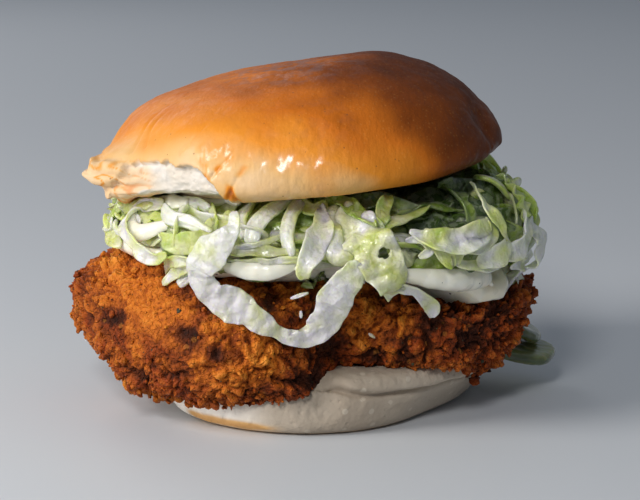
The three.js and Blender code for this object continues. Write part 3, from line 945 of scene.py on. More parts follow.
def finish_mayo():
    deep = dict(Subsurface_Weight=0.5, Subsurface_Scale=0.004, Subsurface_Radius=(1.0, 0.85, 0.6))
    cream = Finish("creamy_mayonnaise", Coat_Weight=0.3, Coat_Roughness=0.12, **deep)
    cloud = cream.group(mottling, Size=0.007, Contrast=1.2)
    colour = cream.mix(cloud, (0.96, 0.87, 0.68), (0.98, 0.92, 0.77))
    oil = cream.maths("MULTIPLY", cream.range(cream.note("seasoned"), 0.55, 1.0), 0.3)
    colour = cream.mix(oil, colour, (0.78, 0.6, 0.33))
    pepper = cream.group(flecks, Size=0.0005, Share=0.012)
    colour = cream.mix(pepper, colour, (0.1, 0.08, 0.05))
    cream.bump(cream.group(mottling, Size=0.003, Contrast=1.0), 0.12)
    cream.finish(mayo, Base_Color=colour, Roughness=cream.range(cloud, 0, 1, 0.22, 0.36))


sculpt_mayo()
finish_mayo()

# %% [markdown]
# ## The pickle slices
# A slice of pickled cucumber has a thin dark skin round its rim, pale wet flesh and a ring of seeds. Each
# point's distance from the slice's middle says which of them it is. The slices are tilted, so that middle
# and the slice's own plane are worked out from its points: the plane is the one that they spread in least.

# %% Pickles
PICKLE_RADIUS = 14
PICKLE_SEEDS = 7
pickle_low = even_skin("pickle_slice_low", "pickle_slice_low_wet", 0.6, 3, 1)
pickle_high = even_skin("pickle_slice_high", "pickle_slice_high_wet", 0.6, 3, 1)


def sculpt_pickle(piece, seed):
    points, out_of = skin_of(piece)
    middle = (points.min(0) + points.max(0)) / 2
    _, _, axes = np.linalg.svd(points - points.mean(0), full_matrices=False)
    flat = (points - middle) @ axes[:2].T
    out = np.linalg.norm(flat, axis=1) / PICKLE_RADIUS
    turn = np.arctan2(flat[:, 1], flat[:, 0])
    face = np.abs(out_of @ axes[2])
    seeds = rise(np.cos(PICKLE_SEEDS * turn + seed), 0.55, 0.9) * bump(out - 0.5, 0.16)
    sunk = -0.25 * face * bump(out - 0.5, 0.3) + 0.3 * face * seeds + 0.12 * soft_noise(points, 2.5, seed)
    write_points(piece.data, points + out_of * sunk[:, None])
    note(piece.data, "skin", rise(out + 0.04 * soft_noise(points, 3, seed), 0.86, 0.99) * (1 - 0.6 * face))
    note(piece.data, "seeds", seeds)


def finish_pickles():
    deep = dict(Subsurface_Weight=0.25, Subsurface_Scale=0.003)
    wet = Finish("wet_pickle", Coat_Weight=0.6, Coat_Roughness=0.08, **deep)
    cloud = wet.group(mottling, Size=0.004, Contrast=1.8)
    flesh = wet.mix(cloud, (0.16, 0.19, 0.05), (0.32, 0.34, 0.12))
    flesh = wet.mix(wet.maths("MULTIPLY", wet.note("seeds"), 0.6), flesh, (0.5, 0.48, 0.22))
    skin = wet.mix(wet.group(flecks, Size=0.0012, Share=0.3), (0.05, 0.075, 0.025), (0.14, 0.16, 0.05))
    wet.bump(wet.group(mottling, Size=0.0018, Contrast=1.2), 0.15)
    wet.finish([pickle_low, pickle_high], Base_Color=wet.mix(wet.note("skin"), flesh, skin), Roughness=0.3)


sculpt_pickle(pickle_low, 71)
sculpt_pickle(pickle_high, 74)
finish_pickles()

# %% [markdown]
# ## The lettuce
# Shredded iceberg is thick white ribs and crinkled leaf, cut across so that the ends are blunt. Each shred
# is one strip of points laid along a line over the heap: it has a width, a curl across, ruffles that grow
# to its edges and a ragged outline. The strips are thin sheets, and the Solidify modifier gives them a
# thickness, more along a rib than at an edge. They lie over a smaller core, painted dark green and darkest
# under the right of the crown, which shows only as depth between them: its dark colour is painted shade.

# %% The heap and what it lies on
CORE_DEPTH = 7.5  # how far the core's skin lies below the heap's, in mm

heap = even_skin("shredded_lettuce", "lettuce_core", 1.8, 8, 0)
heap_low, heap_high = (np.array(corner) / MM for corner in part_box("shredded_lettuce"))
heap_middle = (heap_low + heap_high) / 2


def tree_of(piece):
    return BVHTree.FromObject(piece, bpy.context.evaluated_depsgraph_get())


heap_tree = tree_of(heap)
base_trees = [tree_of(fillet), tree_of(mayo)]
crown_tree = tree_of(crown)


def shrink_heap():
    """Sinks the heap's skin, deepest behind the loop and under the right of the crown."""
    points, out_of = skin_of(heap)
    away = (points - heap_middle) * [1, 1, 0]
    turn, height = turn_of(away), points[:, 2]
    uncovered = rise(np.hypot(away[:, 0], away[:, 1]), 28, 40) * bump(turn_from(turn, 150), 60)
    depth = CORE_DEPTH * (1 - 0.6 * rise(out_of[:, 2], 0.2, 0.8) * (1 - uncovered))
    depth += 5 * bump(turn_from(turn, 312), 32) * rise(height, 49, 56)
    relief, _ = pebbles(points * [1, 1, 1.5], 7, 80)
    behind_loop = 20 * bump(turn_from(turn, 264), 27) * (1 - rise(height, 45, 52))
    moved = points + out_of * (2.6 * relief - depth)[:, None] - unit(away) * behind_loop[:, None]
    write_points(heap.data, moved)
    # painted shade: the core is painted dark green, darkest under the right of the crown
    note(heap.data, "green", 0.4 + 0.75 * bump(turn_from(turn, 325), 60) + 0.25 * soft_noise(points, 6, 81))
    note(heap.data, "rib", np.zeros(len(points)))
    print("the core is", round(float(depth.min()), 1), "to", round(float(depth.max()), 1), "mm deep")


shrink_heap()

# %% [markdown]
# A place on the heap is named by a turn round it, a height and how far it stands off. A straight look from
# outside towards the middle finds where the heap, the fillet or the mayonnaise is met first. What hangs
# free has no surface to be met, so its places say how far out from the middle they are. A strip's line is a
# smooth curve through a few places.


# %% Places on the heap
def place_on_heap(turn, height, off=1.0):
    angle = math.radians(turn)
    outward = Vector((math.cos(angle), math.sin(angle), 0))
    met = []
    while not met:
        start = Vector((*heap_middle[:2], height)) * MM + outward * 0.2
        hits = [tree.ray_cast(start, -outward)[0] for tree in (heap_tree, *base_trees)]
        met = [hit for hit in hits if hit]
        height -= 1
    return np.array(max(met, key=outward.dot) + outward * off * MM) / MM


def hanging_place(turn, height, out):
    angle = math.radians(turn)
    return np.array([*(heap_middle[:2] + [out * math.cos(angle), out * math.sin(angle)]), height])


def smooth_line(places, step=0.9):
    """Points about a step apart on a smooth curve through a few places."""
    ends = [2 * places[0] - places[1], *places, 2 * places[-1] - places[-2]]
    line = []
    for a, b, c, d in zip(ends, ends[1:], ends[2:], ends[3:]):
        for t in np.arange(0, 1, step / max(np.linalg.norm(c - b), step)):
            line.append(b + 0.5 * t * (c - a + t * (2 * a - 5 * b + 4 * c - d + t * (3 * (b - c) + d - a))))
    return np.array([*line, places[-1]])


def line_on_heap(places):
    return smooth_line([place_on_heap(*place) for place in places])


def facing(line, share):
    """Which way a strip faces along its line: partly as what it lies on does, partly straight outwards."""
    normals = []
    for point in line:
        found = [tree.find_nearest(Vector(point) * MM) for tree in (heap_tree, *base_trees)]
        normal = min(found, key=lambda hit: hit[3])[1]
        outward = unit(np.array([point[0] - heap_middle[0], point[1] - heap_middle[1], 0.0]))
        normals.append(share * np.array(normal) + (1 - share) * outward)
    for _ in range(4):
        normals[1:-1] = [(a + 2 * b + c) / 4 for a, b, c in zip(normals, normals[1:], normals[2:])]
    return unit(np.array(normals))


print("the heap's front is met at", place_on_heap(270, 50).round(1), "mm")

# %% [markdown]
# `strip` lays the grid of points for one shred. Across it runs from -1 at one edge to 1 at the other. The
# half widths are read along the line, so that a leaf can be narrow at its tip. The curl is a share of the
# width, and the ruffle, blisters and ragged edge are in millimetres.


# %% One strip
def noise_over(steps, across, far, parts):
    """Soft noise over a strip's own flat grid: the sum of (depth, size, seed) parts."""
    spots = np.stack([steps, across, np.full(steps.shape, far)], -1).reshape(-1, 3)
    return sum(depth * soft_noise(spots, size, seed) for depth, size, seed in parts).reshape(steps.shape)


def strip(line, out_of, halves, seed, roll=0.0, twist=0.0, columns=7, **shape):
    """A grid of points along a line, and how far across it each of them is, from -1 to 1."""
    shape = dict(curl=0.2, ruffle=0.6, wave=10.0, ragged=0.3, blister=0.3) | shape
    along = unit(np.gradient(line, axis=0))
    flat = unit(np.cross(out_of, along))
    turn = np.radians(roll + twist * np.linspace(-0.5, 0.5, len(line)))[:, None]
    across = flat * np.cos(turn) + out_of * np.sin(turn)
    lift = unit(np.cross(along, across))
    run = np.concatenate([[0], np.cumsum(np.linalg.norm(np.diff(line, axis=0), axis=1))])
    half = np.interp(run / run[-1], np.linspace(0, 1, len(halves)), halves)
    half = (half * np.clip(np.minimum(run, run[-1] - run) / 1.6 + 0.35, 0, 1) ** 0.5)[:, None]
    steps, sides = np.meshgrid(run, np.linspace(-1, 1, columns), indexing="ij")
    two_edges = 40.0 * np.sign(sides) + 3 * seed
    edge = noise_over(steps, two_edges, 7.7 * seed, ((1, 5, 90), (0.35, 2, 91)))
    width = half * sides + shape["ragged"] * 2.2 * edge * sides * np.abs(sides)
    phase = 2 * np.pi * steps / shape["wave"] + 1.7 * np.sign(sides)
    phase += noise_over(steps, two_edges, 7.7 * seed, ((2.0, 12, 92),))
    bumps = noise_over(steps, 0.65 * width + 50, 9.1 * seed, ((1, 3.4, 93), (0.8, 1.8, 94)))
    height = shape["curl"] * half * sides**2 + shape["blister"] * bumps
    height += shape["ruffle"] * np.abs(sides) ** 1.5 * np.sin(phase)
    return line[:, None] + across[:, None] * width[..., None] + lift[:, None] * height[..., None], sides


class Shreds:
    """Collects strips into one mesh, with notes of how green and how rib-like each point is."""

    def __init__(self):
        self.points, self.quads, self.green, self.rib, self.count = [], [], [], [], 0

    def add(self, grid, sides, tone, ribbed=False, hole=None):
        rows, columns = sides.shape
        spots = grid.reshape(-1, 3)
        rib = bump(sides, 0.5) if ribbed else np.zeros_like(sides)
        patchy = (0.4 * soft_noise(spots, 7, 95) + 0.16 * soft_noise(spots, 2.5, 96)).reshape(sides.shape)
        self.green.append((tone + 0.12 * (sides**2 - 0.3) + patchy - 0.4 * rib).ravel())
        self.rib.append(rib.ravel())
        index = np.arange(rows * columns).reshape(rows, columns) + self.count
        quads = np.stack([index[:-1, :-1], index[1:, :-1], index[1:, 1:], index[:-1, 1:]], -1).reshape(-1, 4)
        if hole:
            along, across, reach = hole
            middle = np.array([along * (rows - 1), (across + 1) / 2 * (columns - 1)])
            cells = np.stack(np.indices((rows - 1, columns - 1)), -1) + 0.5
            quads = quads[(np.linalg.norm(cells - middle, axis=-1) > reach).ravel()]
        self.points.append(spots)
        self.quads.append(quads)
        self.count += len(spots)

    def lay(self, line, halves, tone, seed, share, ribbed=False, hole=None, **shape):
        """Lays one strip along a line, facing as what it lies on does by a share."""
        grid, sides = strip(line, facing(line, share), halves, seed, **shape)
        self.add(grid, sides, tone, ribbed, hole)


# %% [markdown]
# Strips laid by formula can run into the crown above or the fillet below. Before the mesh is made, every
# point that is inside one of them, or nearly, is moved out to just above its surface, so that a shred
# drapes over the crags instead of cutting through them.


# %% Draping and thickness
NEAR = 6 * MM  # how far from a skin a point may be and still be looked at


def drape(points, trees, clear):
    """The points, moved out of the skins that they are in or nearer to than `clear` millimetres."""
    moved = points.copy()
    for k in range(len(points)):
        for tree in trees:
            spot, normal, _, _ = tree.find_nearest(Vector(moved[k]) * MM, NEAR)
            if spot is not None and (Vector(moved[k]) * MM - spot).dot(normal) < clear * MM:
                moved[k] = np.array(spot + normal * clear * MM) / MM
    return moved


def build_shreds(shreds, name, thin, thick):
    """One mesh of all the strips: thin sheets made solid, thick along a rib, and rounded."""
    points = np.concatenate(shreds.points)
    points = drape(points, base_trees, 0.45)
    high = points[:, 2] > 50
    points[high] = drape(points[high], [crown_tree], 0.5)
    points = np.clip(points, heap_low - [5, 4, 6], heap_high + [4, 4, 0])
    mesh = bpy.data.meshes.new(name)
    mesh.from_pydata(points * MM, [], np.concatenate(shreds.quads).tolist())
    piece = add_piece(name, mesh)
    note(mesh, "green", np.concatenate(shreds.green))
    ribs = np.concatenate(shreds.rib)
    note(mesh, "rib", ribs)
    group = piece.vertex_groups.new(name="rib")
    for level in range(1, 11):
        group.add(np.flatnonzero(np.round(ribs * 10) == level).tolist(), level / 10, "REPLACE")
    body = piece.modifiers.new("body", "SOLIDIFY")
    body.thickness, body.offset, body.vertex_group = thick * MM, 0, "rib"
    body.thickness_vertex_group = thin / thick
    piece.modifiers.new("round", "SUBSURF").levels = 1
    settle(piece)
    piece.data.shade_smooth()
    print(name, 2 * len(piece.data.polygons), "triangles")
    return piece


# %% [markdown]
# The front of the heap is what gives this burger its face, so its larger leaves are laid one by one: a long
# crinkled strip that sags over the fillet in a loop, a torn leaf with a hole beside it, a pale leaf under
# the right of the crown, ribs that stand between them, and broad leaves that stand out at the right end.
# Each row of the list is one leaf: its places, its half widths along its line, its tone from white to
# green, and what is special about its shape. A hole is cut at a share of the length and a place across,
# over some squares.

# %% The loop, the tongue and the torn leaf
# the long strip that hangs in a loop over the fillet, and a short tongue: turns, heights and how far out
LOOP = [(246, 61, 54), (246, 55.5, 57), (241, 50.5, 58), (237, 45, 57.5), (239.5, 39.5, 55.5)]
LOOP += [(245.5, 36.5, 53.5), (252.5, 32.5, 52), (260, 28.5, 49.5), (267, 29, 48.5), (271.5, 34, 50)]
LOOP += [(274, 40, 52.5), (277, 44.5, 54.5), (280, 48.5, 54.5)]
LOOP_HALVES = (1.2, 2.6, 4.8, 4.0, 3.9, 4.9, 3.3, 1.7, 2.5, 4.2, 4.4, 4.1, 2.4)
TONGUE = [(286, 45, 53), (288, 43, 54), (292, 41.5, 54), (296, 40, 53.5), (299.5, 37.5, 52.5)]
TONGUE += [(302.5, 34.5, 51), (303.5, 32, 50)]
TONGUE_HALVES = (1.0, 1.3, 1.2, 1.4, 1.8, 2.0, 1.2)
HANGING = [
    (LOOP, LOOP_HALVES, 0.02, dict(ruffle=0.4, wave=3.5, blister=0.7, curl=-0.1, columns=15)),
    (TONGUE, TONGUE_HALVES, 0.02, dict(roll=25, ruffle=0.2, blister=0.3, curl=0.4, columns=9)),
]
# the torn leaf with a hole
FRONT_LEAVES = [
    ([(277, 60, 1), (281, 55, 3), (284, 51, 4), (287, 46, 4), (289, 41, 3), (292, 38, 2)],
     (2.4, 5.2, 6.6, 5.6, 3.2, 1.2), 0.16,
     dict(ruffle=1.1, wave=8, ragged=0.45, blister=0.9, curl=-0.12, columns=15, hole=(0.5, 0.3, 1.6))),
]

# %% Leaves under the right of the crown
# some tones here are raised a little towards green, which is painted shade under the crown
FRONT_LEAVES += [
    ([(294, 55.5, 4), (299, 53.5, 5), (306, 52.5, 5), (312, 54, 5), (319, 55, 2)],
     (0.6, 3.0, 3.8, 3.4, 1.6), 0.2,
     dict(roll=-25, ruffle=0.4, ragged=0.2, blister=0.6, curl=0.25, columns=11)),
    ([(293, 53, 2), (297, 53.5, 3), (299, 51, 3), (296, 49, 2)], (0.8, 1.3, 1.4, 1.0), 0.06, dict(curl=0.5)),
    ([(299, 55, 2), (302, 51, 3), (305, 46, 3)], (1.4, 2.8, 1.8), 0.42, dict(curl=0.3)),
    ([(306, 46, 2), (307, 51, 3), (313, 51, 4), (318, 53, 3), (320, 56, 1)],
     (1.6, 2.0, 1.9, 1.8, 1.4), 0.24, dict(curl=0.5)),
    ([(313, 46, 2), (319, 48, 4), (324, 51, 3)], (2.0, 3.2, 1.6), 0.1, dict(curl=0.3, roll=-10, ruffle=0.3)),
    ([(326, 64, 2), (318, 60, 5), (320, 55, 5), (322, 51, 4)],
     (0.7, 1.8, 1.6, 0.4), 0.28, dict(curl=0.3, ruffle=0.2)),
]

# %% Leaves in the middle of the front
FRONT_LEAVES += [
    # yellow-green, tucked under the crown
    ([(271, 61, -1), (278, 61, 1), (283, 58.5, 2), (288, 56, 2)],
     (1.6, 2.6, 2.6, 1.0), 0.62, dict(roll=-35, ruffle=0.9)),
    ([(295, 62, -1), (290, 60, 1), (286, 56, 2)], (1.0, 2.4, 1.4), 0.58, dict(ruffle=0.9, curl=0.4)),
    ([(260, 60, 0), (266, 59, 1), (272, 60, 0)], (2.0, 2.6, 1.8), 0.5, dict(roll=-30, ruffle=0.7)),
    ([(243, 62, -2), (246, 57, -1), (247, 53, 0)], (2.4, 2.2, 1.8), 0.55, dict(ruffle=0.4)),
    # pale, below them
    ([(269, 60, 1), (270, 56, 3), (267, 51, 4), (265, 47, 4), (265, 44, 2)],
     (1.2, 2.2, 3.2, 3.0, 1.6), 0.1, dict(curl=0.35)),
    ([(273, 60, 1), (273, 55, 3), (274, 50, 3), (279, 48, 2)],
     (1.8, 2.5, 2.8, 1.8), 0.26, dict(curl=-0.3, ruffle=0.9)),
    ([(240, 50, 1), (251, 50.5, 3), (263, 50, 2)], (1.2, 1.5, 1.0), 0.4, dict(roll=-20, ruffle=0.5, wave=7)),
    ([(243, 47.5, 1), (254, 48, 2.5), (268, 49, 2)], (0.9, 1.2, 0.8), 0.3, dict(roll=20, ruffle=0.5, wave=6)),
    ([(245, 51.5, 3), (252, 52, 3.5), (260, 55, 3)],
     (0.6, 0.7, 0.4), 0.34, dict(ruffle=0.1, blister=0.1, curl=0)),
]

# %% Leaves at the left of the front
FRONT_LEAVES += [
    ([(211, 58, 1), (205, 56.5, 2), (208, 53, 3), (214, 49, 3), (219, 46, 3), (225, 47.5, 2)],
     (1.6, 1.9, 1.8, 2.0, 2.2, 1.0), 0.12, dict(curl=0.45, ruffle=0.3)),
    ([(222, 52, 2), (229, 51, 3), (236, 53, 3), (237, 58, 1)],
     (0.8, 2.9, 3.2, 1.8), 0.36, dict(ruffle=1.0, ragged=0.5)),
    ([(226, 59, 1), (236, 56, 3), (239, 52, 3)], (0.8, 0.9, 0.8), 0.5, dict(ruffle=0.3, blister=0.2)),
    ([(221, 39, 2), (226, 43, 3), (233, 46, 2)], (0.7, 1.8, 1.5), 0.2, dict(curl=0.4, ruffle=0.2)),
    ([(216, 42, 2), (227, 46.5, 3), (233, 47, 2)], (0.6, 1.8, 1.4), 0.32, dict(curl=0.4, ruffle=0.2)),
    ([(189, 49, 1), (196, 54, 2), (199, 58, 1), (206, 61, 0)], (0.8, 1.4, 1.5, 1.2), 0.55, dict(ruffle=0.4)),
    ([(200, 60, 0), (210, 60, 1), (218, 60, 0)], (1.0, 1.4, 1.0), 0.7, dict(roll=-30, ruffle=0.6)),
]

# %% Leaves at the right end
FRONT_LEAVES += [
    # broad and standing out
    ([(354, 65, -5), (350, 61, -2.5), (342, 57, 1), (335, 54, 2)],
     (3.0, 3.8, 3.4, 1.8), 0.6, dict(ruffle=1.1, wave=5, ragged=0.6, blister=0.6, columns=11, roll=15)),
    ([(2, 60, -6), (354, 53, -2), (352, 46, 0.5), (354, 38, 1), (358, 32, 0)],
     (3.0, 6.5, 7.5, 6.0, 3.0), 0.6, dict(ruffle=1.0, wave=12, ragged=0.4, curl=-0.12, columns=13, roll=8)),
    ([(12, 62, -7), (9, 54, -3), (8, 45, -0.5), (8, 35, 0)],
     (3.0, 6.0, 6.5, 4.0), 0.58, dict(ruffle=1.3, curl=-0.1, columns=13)),
    ([(332, 42, 2), (341, 41, 2), (350, 38, 2), (354, 34, 2)], (1.2, 1.6, 1.4, 0.8), 0.1, dict(curl=0.3)),
    ([(340, 53, 2), (343, 47, 4), (345, 41, 5), (346, 35, 4)],
     (2.4, 3.8, 4.2, 2.4), 0.02, dict(ruffle=0.9, wave=9, ragged=0.4, curl=-0.15, columns=11)),
    ([(322, 47, 2), (328, 48, 4), (333, 52, 4), (337, 56, 2)],
     (1.8, 3.0, 3.0, 1.4), 0.0, dict(curl=0.3, ruffle=0.5)),
    ([(306, 47, 1), (314, 45, 2), (323, 44, 2)], (1.0, 1.6, 1.2), 0.1, dict(roll=-30, ruffle=0.4)),
]

# %% Small bits that fell on the fillet
FRONT_LEAVES += [
    ([(261, 39, 0.6), (264, 40, 0.8), (266, 40.5, 0.6)],
     (0.4, 0.5, 0.3), 0.0, dict(ruffle=0.1, blister=0.1, ragged=0.1)),
    ([(264, 34, 0.6), (264, 36, 0.8)], (0.3, 0.5, 0.4), 0.0, dict(ruffle=0.1, blister=0.1, ragged=0.1)),
    ([(289, 26, 0.6), (291, 25, 0.8)], (0.5, 0.6, 0.4), 0.0, dict(ruffle=0.1, blister=0.1, ragged=0.1)),
]
print(len(FRONT_LEAVES), "leaves in the list")

# %% Ribs laid one by one
FRONT_RIBS = [
    ([(215, 57.5, 2), (223, 56.5, 3.5), (229, 56, 3.5), (237, 54, 2)], (1.9, 2.0, 1.8, 1.1), 0.02),
    ([(257, 61, 1), (251, 58.5, 3), (249, 55, 3), (249, 51, 1)], (1.0, 2.0, 2.4, 2.0), 0.04),
    ([(261, 61, 0), (259, 58, 3), (259, 54, 3), (261, 49, 2)], (1.8, 1.8, 1.9, 1.5), 0.08),
    ([(235, 61, -2), (242, 57, 0), (246, 53, 1)], (1.8, 2.0, 1.5), 0.3),
    ([(226, 39.5, 1), (230, 43, 2), (233, 47, 1)], (1.4, 1.8, 1.4), 0.0),
    ([(214, 59, 0), (222, 59, 1), (228, 58, 1)], (1.4, 1.7, 1.2), 0.1),
]


def lay_by_hand():
    leaves, ribs = Shreds(), Shreds()
    for seed, (places, halves, tone, shape) in enumerate(HANGING, 300):
        line = smooth_line([hanging_place(*place) for place in places])
        leaves.lay(line, halves, tone, seed, 0.15, **shape)
    for seed, (places, halves, tone, shape) in enumerate(FRONT_LEAVES, 302):
        leaves.lay(line_on_heap(places), halves, tone, seed, 0.3, **shape)
    smooth = dict(curl=0.3, ruffle=0.15, ragged=0.15, blister=0.15)
    for seed, (places, halves, tone) in enumerate(FRONT_RIBS, 400):
        ribs.lay(line_on_heap(places), halves, tone, seed, 0.3, ribbed=True, **smooth)
    return build_shreds(leaves, "lettuce_leaves", 0.55, 0.6), build_shreds(ribs, "lettuce_ribs", 0.8, 2.2)


lettuce = [heap, *lay_by_hand()]

# %% [markdown]
# A few smears of mayonnaise lie over and between the leaves, and it shows in a thick band under the middle
# of them. One long smear is the rounded lip of the roll at the right front. They are laid like the leaves,
# but thicker and smoother, and curled round what they lie on.

# %% Smears of mayonnaise
# each smear's places on the heap, its half widths, and its curl
SMEARS = [
    ([(242, 46.5, 0), (248, 46, 1.5), (255, 46, 1.5), (264, 48.5, 0)], (1.4, 2.2, 2.2, 1.2), -0.7),
    ([(203, 55.5, 1), (208, 52.5, 1.5), (214, 52, 1.5), (221, 55, 0)], (1.0, 2.1, 1.9, 0.8), -0.7),
    ([(200, 57, 0), (208, 58.5, 1), (219, 59, 1)], (1.2, 1.8, 1.2), -0.6),
    ([(219, 59, 0), (227, 60, 1), (236, 60, 0)], (1.2, 1.8, 1.2), -0.6),
    ([(292, 44.5, 0), (300, 43, 1), (307, 41.5, 1.7), (314, 40, 2), (322, 39, 2.2), (329, 38.5, 1.5)],
     (1.2, 2.0, 2.6, 3.1, 3.6, 3.0), -0.9),
    ([(20, 45, 0), (32, 44, 1), (45, 46, 0)], (1.4, 2.4, 1.4), -0.6),
    ([(110, 46, 0), (122, 45, 1), (133, 46, 0)], (1.4, 2.6, 1.4), -0.6),
]


def lay_smears():
    smears = Shreds()
    smooth = dict(ruffle=0.1, ragged=0.2, blister=0.35, columns=9)
    for seed, (places, halves, curl) in enumerate(SMEARS, 500):
        smears.lay(line_on_heap(places), halves, 0.0, seed, 0.6, curl=curl, **smooth)
    piece = build_shreds(smears, "mayonnaise_smears", 1.7, 1.8)
    note(piece.data, "seasoned", np.full(len(piece.data.vertices), 0.4))
    piece.data.materials.append(bpy.data.materials["creamy_mayonnaise"])


lay_smears()

# %% [markdown]
# The rest of the heap is strewn. Each shred starts at a random place on the heap's side and wanders over
# it, sinking in and standing out as it goes. Some lie flat and some stand on edge. Three kinds are strewn:
# pale leaf, green leaf and ribs. One seed makes the same heap every time.

# %% Strewn shreds
chance = random.Random(7)


def wander(turn, height, length, slope, depth):
    """A line that wanders over the heap from a place on its side."""
    point = place_on_heap(turn, height, 0)
    heading = np.array([-math.sin(math.radians(turn)), math.cos(math.radians(turn)), slope])
    heading *= chance.choice((-1, 1))
    bend, phase = chance.uniform(-0.09, 0.09), chance.uniform(0, 6)
    line = []
    for k in range(int(length)):
        spot, normal, _, _ = heap_tree.find_nearest(Vector(point) * MM)
        normal = np.array(normal)
        sink = depth + 1.4 * math.sin(0.22 * k + phase)
        line.append(np.array(spot) / MM + normal * sink)
        heading = unit(heading - normal * (heading @ normal) + bend * np.cross(normal, heading))
        point = np.array(spot) / MM + heading
    line = np.array(line)
    for _ in range(3):
        line[1:-1] = 0.25 * line[:-2] + 0.5 * line[1:-1] + 0.25 * line[2:]
    return line


def strew(name, count, tones, halves, lengths, thin, thick, ribs=False):
    """One mesh of shreds, spread evenly round the heap and at random in every other way."""
    shreds = Shreds()
    for number in range(count):
        turn = 360 * (number + chance.random()) / count
        lowest = heap_low[2] + 7 + 14.5 * bump(turn_from(turn, 290), 60)
        height = chance.uniform(lowest, heap_high[2] - 1)
        tucked = 5.5 * bump(turn_from(turn, 305), 40) * rise(height, 50, 57)
        depth = chance.uniform(-5.5, -0.3) - tucked + 2.5 * bump(turn_from(turn, 150), 55)
        line = wander(turn, height, chance.uniform(*lengths), chance.uniform(-0.9, 0.9), depth)
        line[:, 2] = np.maximum(line[:, 2], lowest - 1 - 0.1 * (lowest - line[:, 2]))
        half = chance.uniform(*halves)
        shape = dict(
            roll=chance.uniform(-60, 60),
            twist=chance.uniform(-70, 70),
            curl=chance.uniform(-0.3, 0.5),
            ruffle=0.2 if ribs else chance.uniform(0.4, 1.1),
            wave=chance.uniform(7, 14),
            ragged=0.15 if ribs else chance.uniform(0.2, 0.5),
            blister=0.15 if ribs else 0.4,
            columns=4 if ribs else 6,
        )
        # painted shade: shreds tucked under the right of the crown, and those at the right end, get a
        # greener, darker tone
        tone = chance.uniform(*tones) + 0.16 * tucked + 0.26 * bump(turn_from(turn, 350), 40)
        halves_along = (0.6 * half, half, 0.8 * half, 0.4 * half)
        shreds.lay(line[::2], halves_along, tone, number + 10, 0.6, ribbed=ribs, **shape)
    return build_shreds(shreds, name, thin, thick)


lettuce += [
    strew("lettuce_shreds_pale", 95, (0.02, 0.3), (2.0, 4.6), (16, 40), 0.6, 0.7),
    strew("lettuce_shreds_green", 75, (0.35, 0.85), (2.0, 4.4), (14, 36), 0.5, 0.6),
    strew("lettuce_ribs_loose", 60, (0.02, 0.25), (1.3, 2.3), (12, 30), 0.8, 2.0, ribs=True),
]

# %% [markdown]
# Leaf is thin enough for light to come through, so it scatters light below its surface. Its colour runs
# from the white of the ribs through yellow-green to green along the stored tone, and on to a near-black
# green where the tone is raised as painted shade. Fine pale veins and a crinkled bump are finer than the
# strips' own points, and a thin wet coat makes it crisp.


# %% The leaf's finish
def finish_lettuce():
    deep = dict(Subsurface_Weight=0.65, Subsurface_Scale=0.005, Subsurface_Radius=(0.75, 1.0, 0.4))
    leaf = Finish("crisp_leaf", Coat_Weight=0.5, Coat_Roughness=0.15, **deep)
    cloud = leaf.group(mottling, Size=0.003, Contrast=1.4)
    green = leaf.maths("SUBTRACT", leaf.note("green"), 0.08)
    tone = leaf.maths("MULTIPLY_ADD", cloud, 0.16, green, clamp=True)
    colour = leaf.colours(
        tone,
        {
            0.0: (0.68, 0.72, 0.6),
            0.2: (0.62, 0.69, 0.36),
            0.42: (0.56, 0.66, 0.17),
            0.65: (0.32, 0.45, 0.06),
            1.0: (0.05, 0.09, 0.015),
        },
    )
    veins = leaf.range(leaf.group(mottling, Size=0.0022, Contrast=3.0), 0.44, 0.5)
    colour = leaf.mix(leaf.maths("MULTIPLY", veins, 0.14), colour, (0.84, 0.88, 0.68))
    colour = leaf.mix(leaf.maths("MULTIPLY", leaf.note("rib"), 0.5), colour, (0.82, 0.85, 0.7))
    leaf.bump(leaf.group(mottling, Size=0.0028, Contrast=1.8), 0.5)
    leaf.bump(leaf.group(net, Size=0.0026, Width=0.35), 0.1)
    leaf.finish(lettuce, Base_Color=colour, Roughness=leaf.range(cloud, 0, 1, 0.32, 0.5))


finish_lettuce()

# %% [markdown]
# ## Floor, light and camera
# One large soft lamp stands at the left front and does most of the work, so the right side falls into
# shade, and a low one beside it reaches in under the crown. A lamp at the back draws a sheen along the top,
# a small one in front gives the glaze its broken highlight, and a dim pale world keeps the shadows open.
# The camera looks down a little from the front.

# %% The studio
STAND = Vector((heel_middle[0], heel_middle[1], 40)) * MM  # the burger's middle
DAYLIGHT = (1.0, 0.97, 0.93)
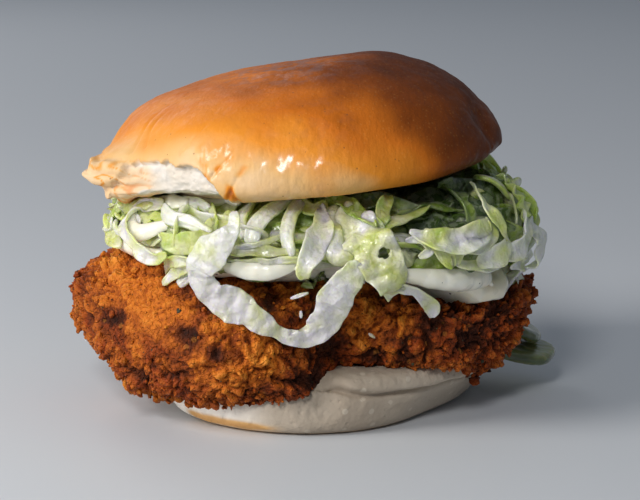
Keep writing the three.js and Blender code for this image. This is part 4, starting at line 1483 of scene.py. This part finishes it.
# each lamp's place from the burger's middle and its size, both in metres, its watts and its colour
LAMPS = {
    "window": ((-0.8, -0.42, 0.56), 0.5, 7.4, DAYLIGHT),
    "low_left": ((-0.85, -0.3, 0.06), 0.3, 2.1, DAYLIGHT),
    "front_glint": ((-0.16, -0.75, 0.5), 0.18, 2.9, (1, 1, 1)),
    "back_sheen": ((-0.5, 0.95, 0.5), 0.5, 1.6, (1, 1, 1)),
}
FLOOR_REACH = 3.0


def add_lamp(name, place, size, watts, colour):
    lamp = bpy.data.lights.new(name, "AREA")
    lamp.shape = "DISK"
    lamp.size, lamp.energy, lamp.color = size, watts, colour
    holder = bpy.data.objects.new(name, lamp)
    holder.location = STAND + Vector(place)
    holder.rotation_euler = (-Vector(place)).to_track_quat("-Z", "Y").to_euler()
    bpy.context.scene.collection.objects.link(holder)


def add_floor():
    mesh = bpy.data.meshes.new("floor")
    corners = [(x * FLOOR_REACH, y * FLOOR_REACH, 0) for x, y in ((-1, -1), (1, -1), (1, 1), (-1, 1))]
    mesh.from_pydata(corners, [], [(0, 1, 2, 3)])
    floor = bpy.data.objects.new("floor", mesh)
    bpy.context.scene.collection.objects.link(floor)
    paint = Finish("pale_floor", Roughness=0.55)
    paint.finish(floor, Base_Color=(0.62, 0.64, 0.67, 1))


add_floor()
for name, lamp in LAMPS.items():
    add_lamp(name, *lamp)
world = bpy.data.worlds.new("studio")
world.use_nodes = True
sky = world.node_tree.nodes["Background"]
sky.inputs["Color"].default_value = (0.74, 0.85, 1.0, 1)
sky.inputs["Strength"].default_value = 0.185
bpy.context.scene.world = world
bpy.context.scene.view_settings.view_transform = "Standard"  # colours come out as they are given
print("lamps:", *LAMPS)

# %% The camera
VIEW_DOWN = math.radians(11.5)
VIEW_AWAY = 0.68  # metres
VIEW_WIDTH = 173 * MM  # how much the camera takes in across, at the burger's middle
AIM_SHIFT = Vector((-1.35, 0, 0.45)) * MM

camera = bpy.data.objects.new("camera", bpy.data.cameras.new("camera"))
bpy.context.scene.collection.objects.link(camera)
back = Vector((0, -math.cos(VIEW_DOWN), math.sin(VIEW_DOWN)))
camera.location = STAND + AIM_SHIFT + back * VIEW_AWAY
camera.rotation_euler = back.to_track_quat("Z", "Y").to_euler()
camera.data.lens = camera.data.sensor_width * VIEW_AWAY / VIEW_WIDTH
camera.data.clip_start = 0.05
bpy.context.scene.camera = camera
print("lens", round(camera.data.lens), "mm")
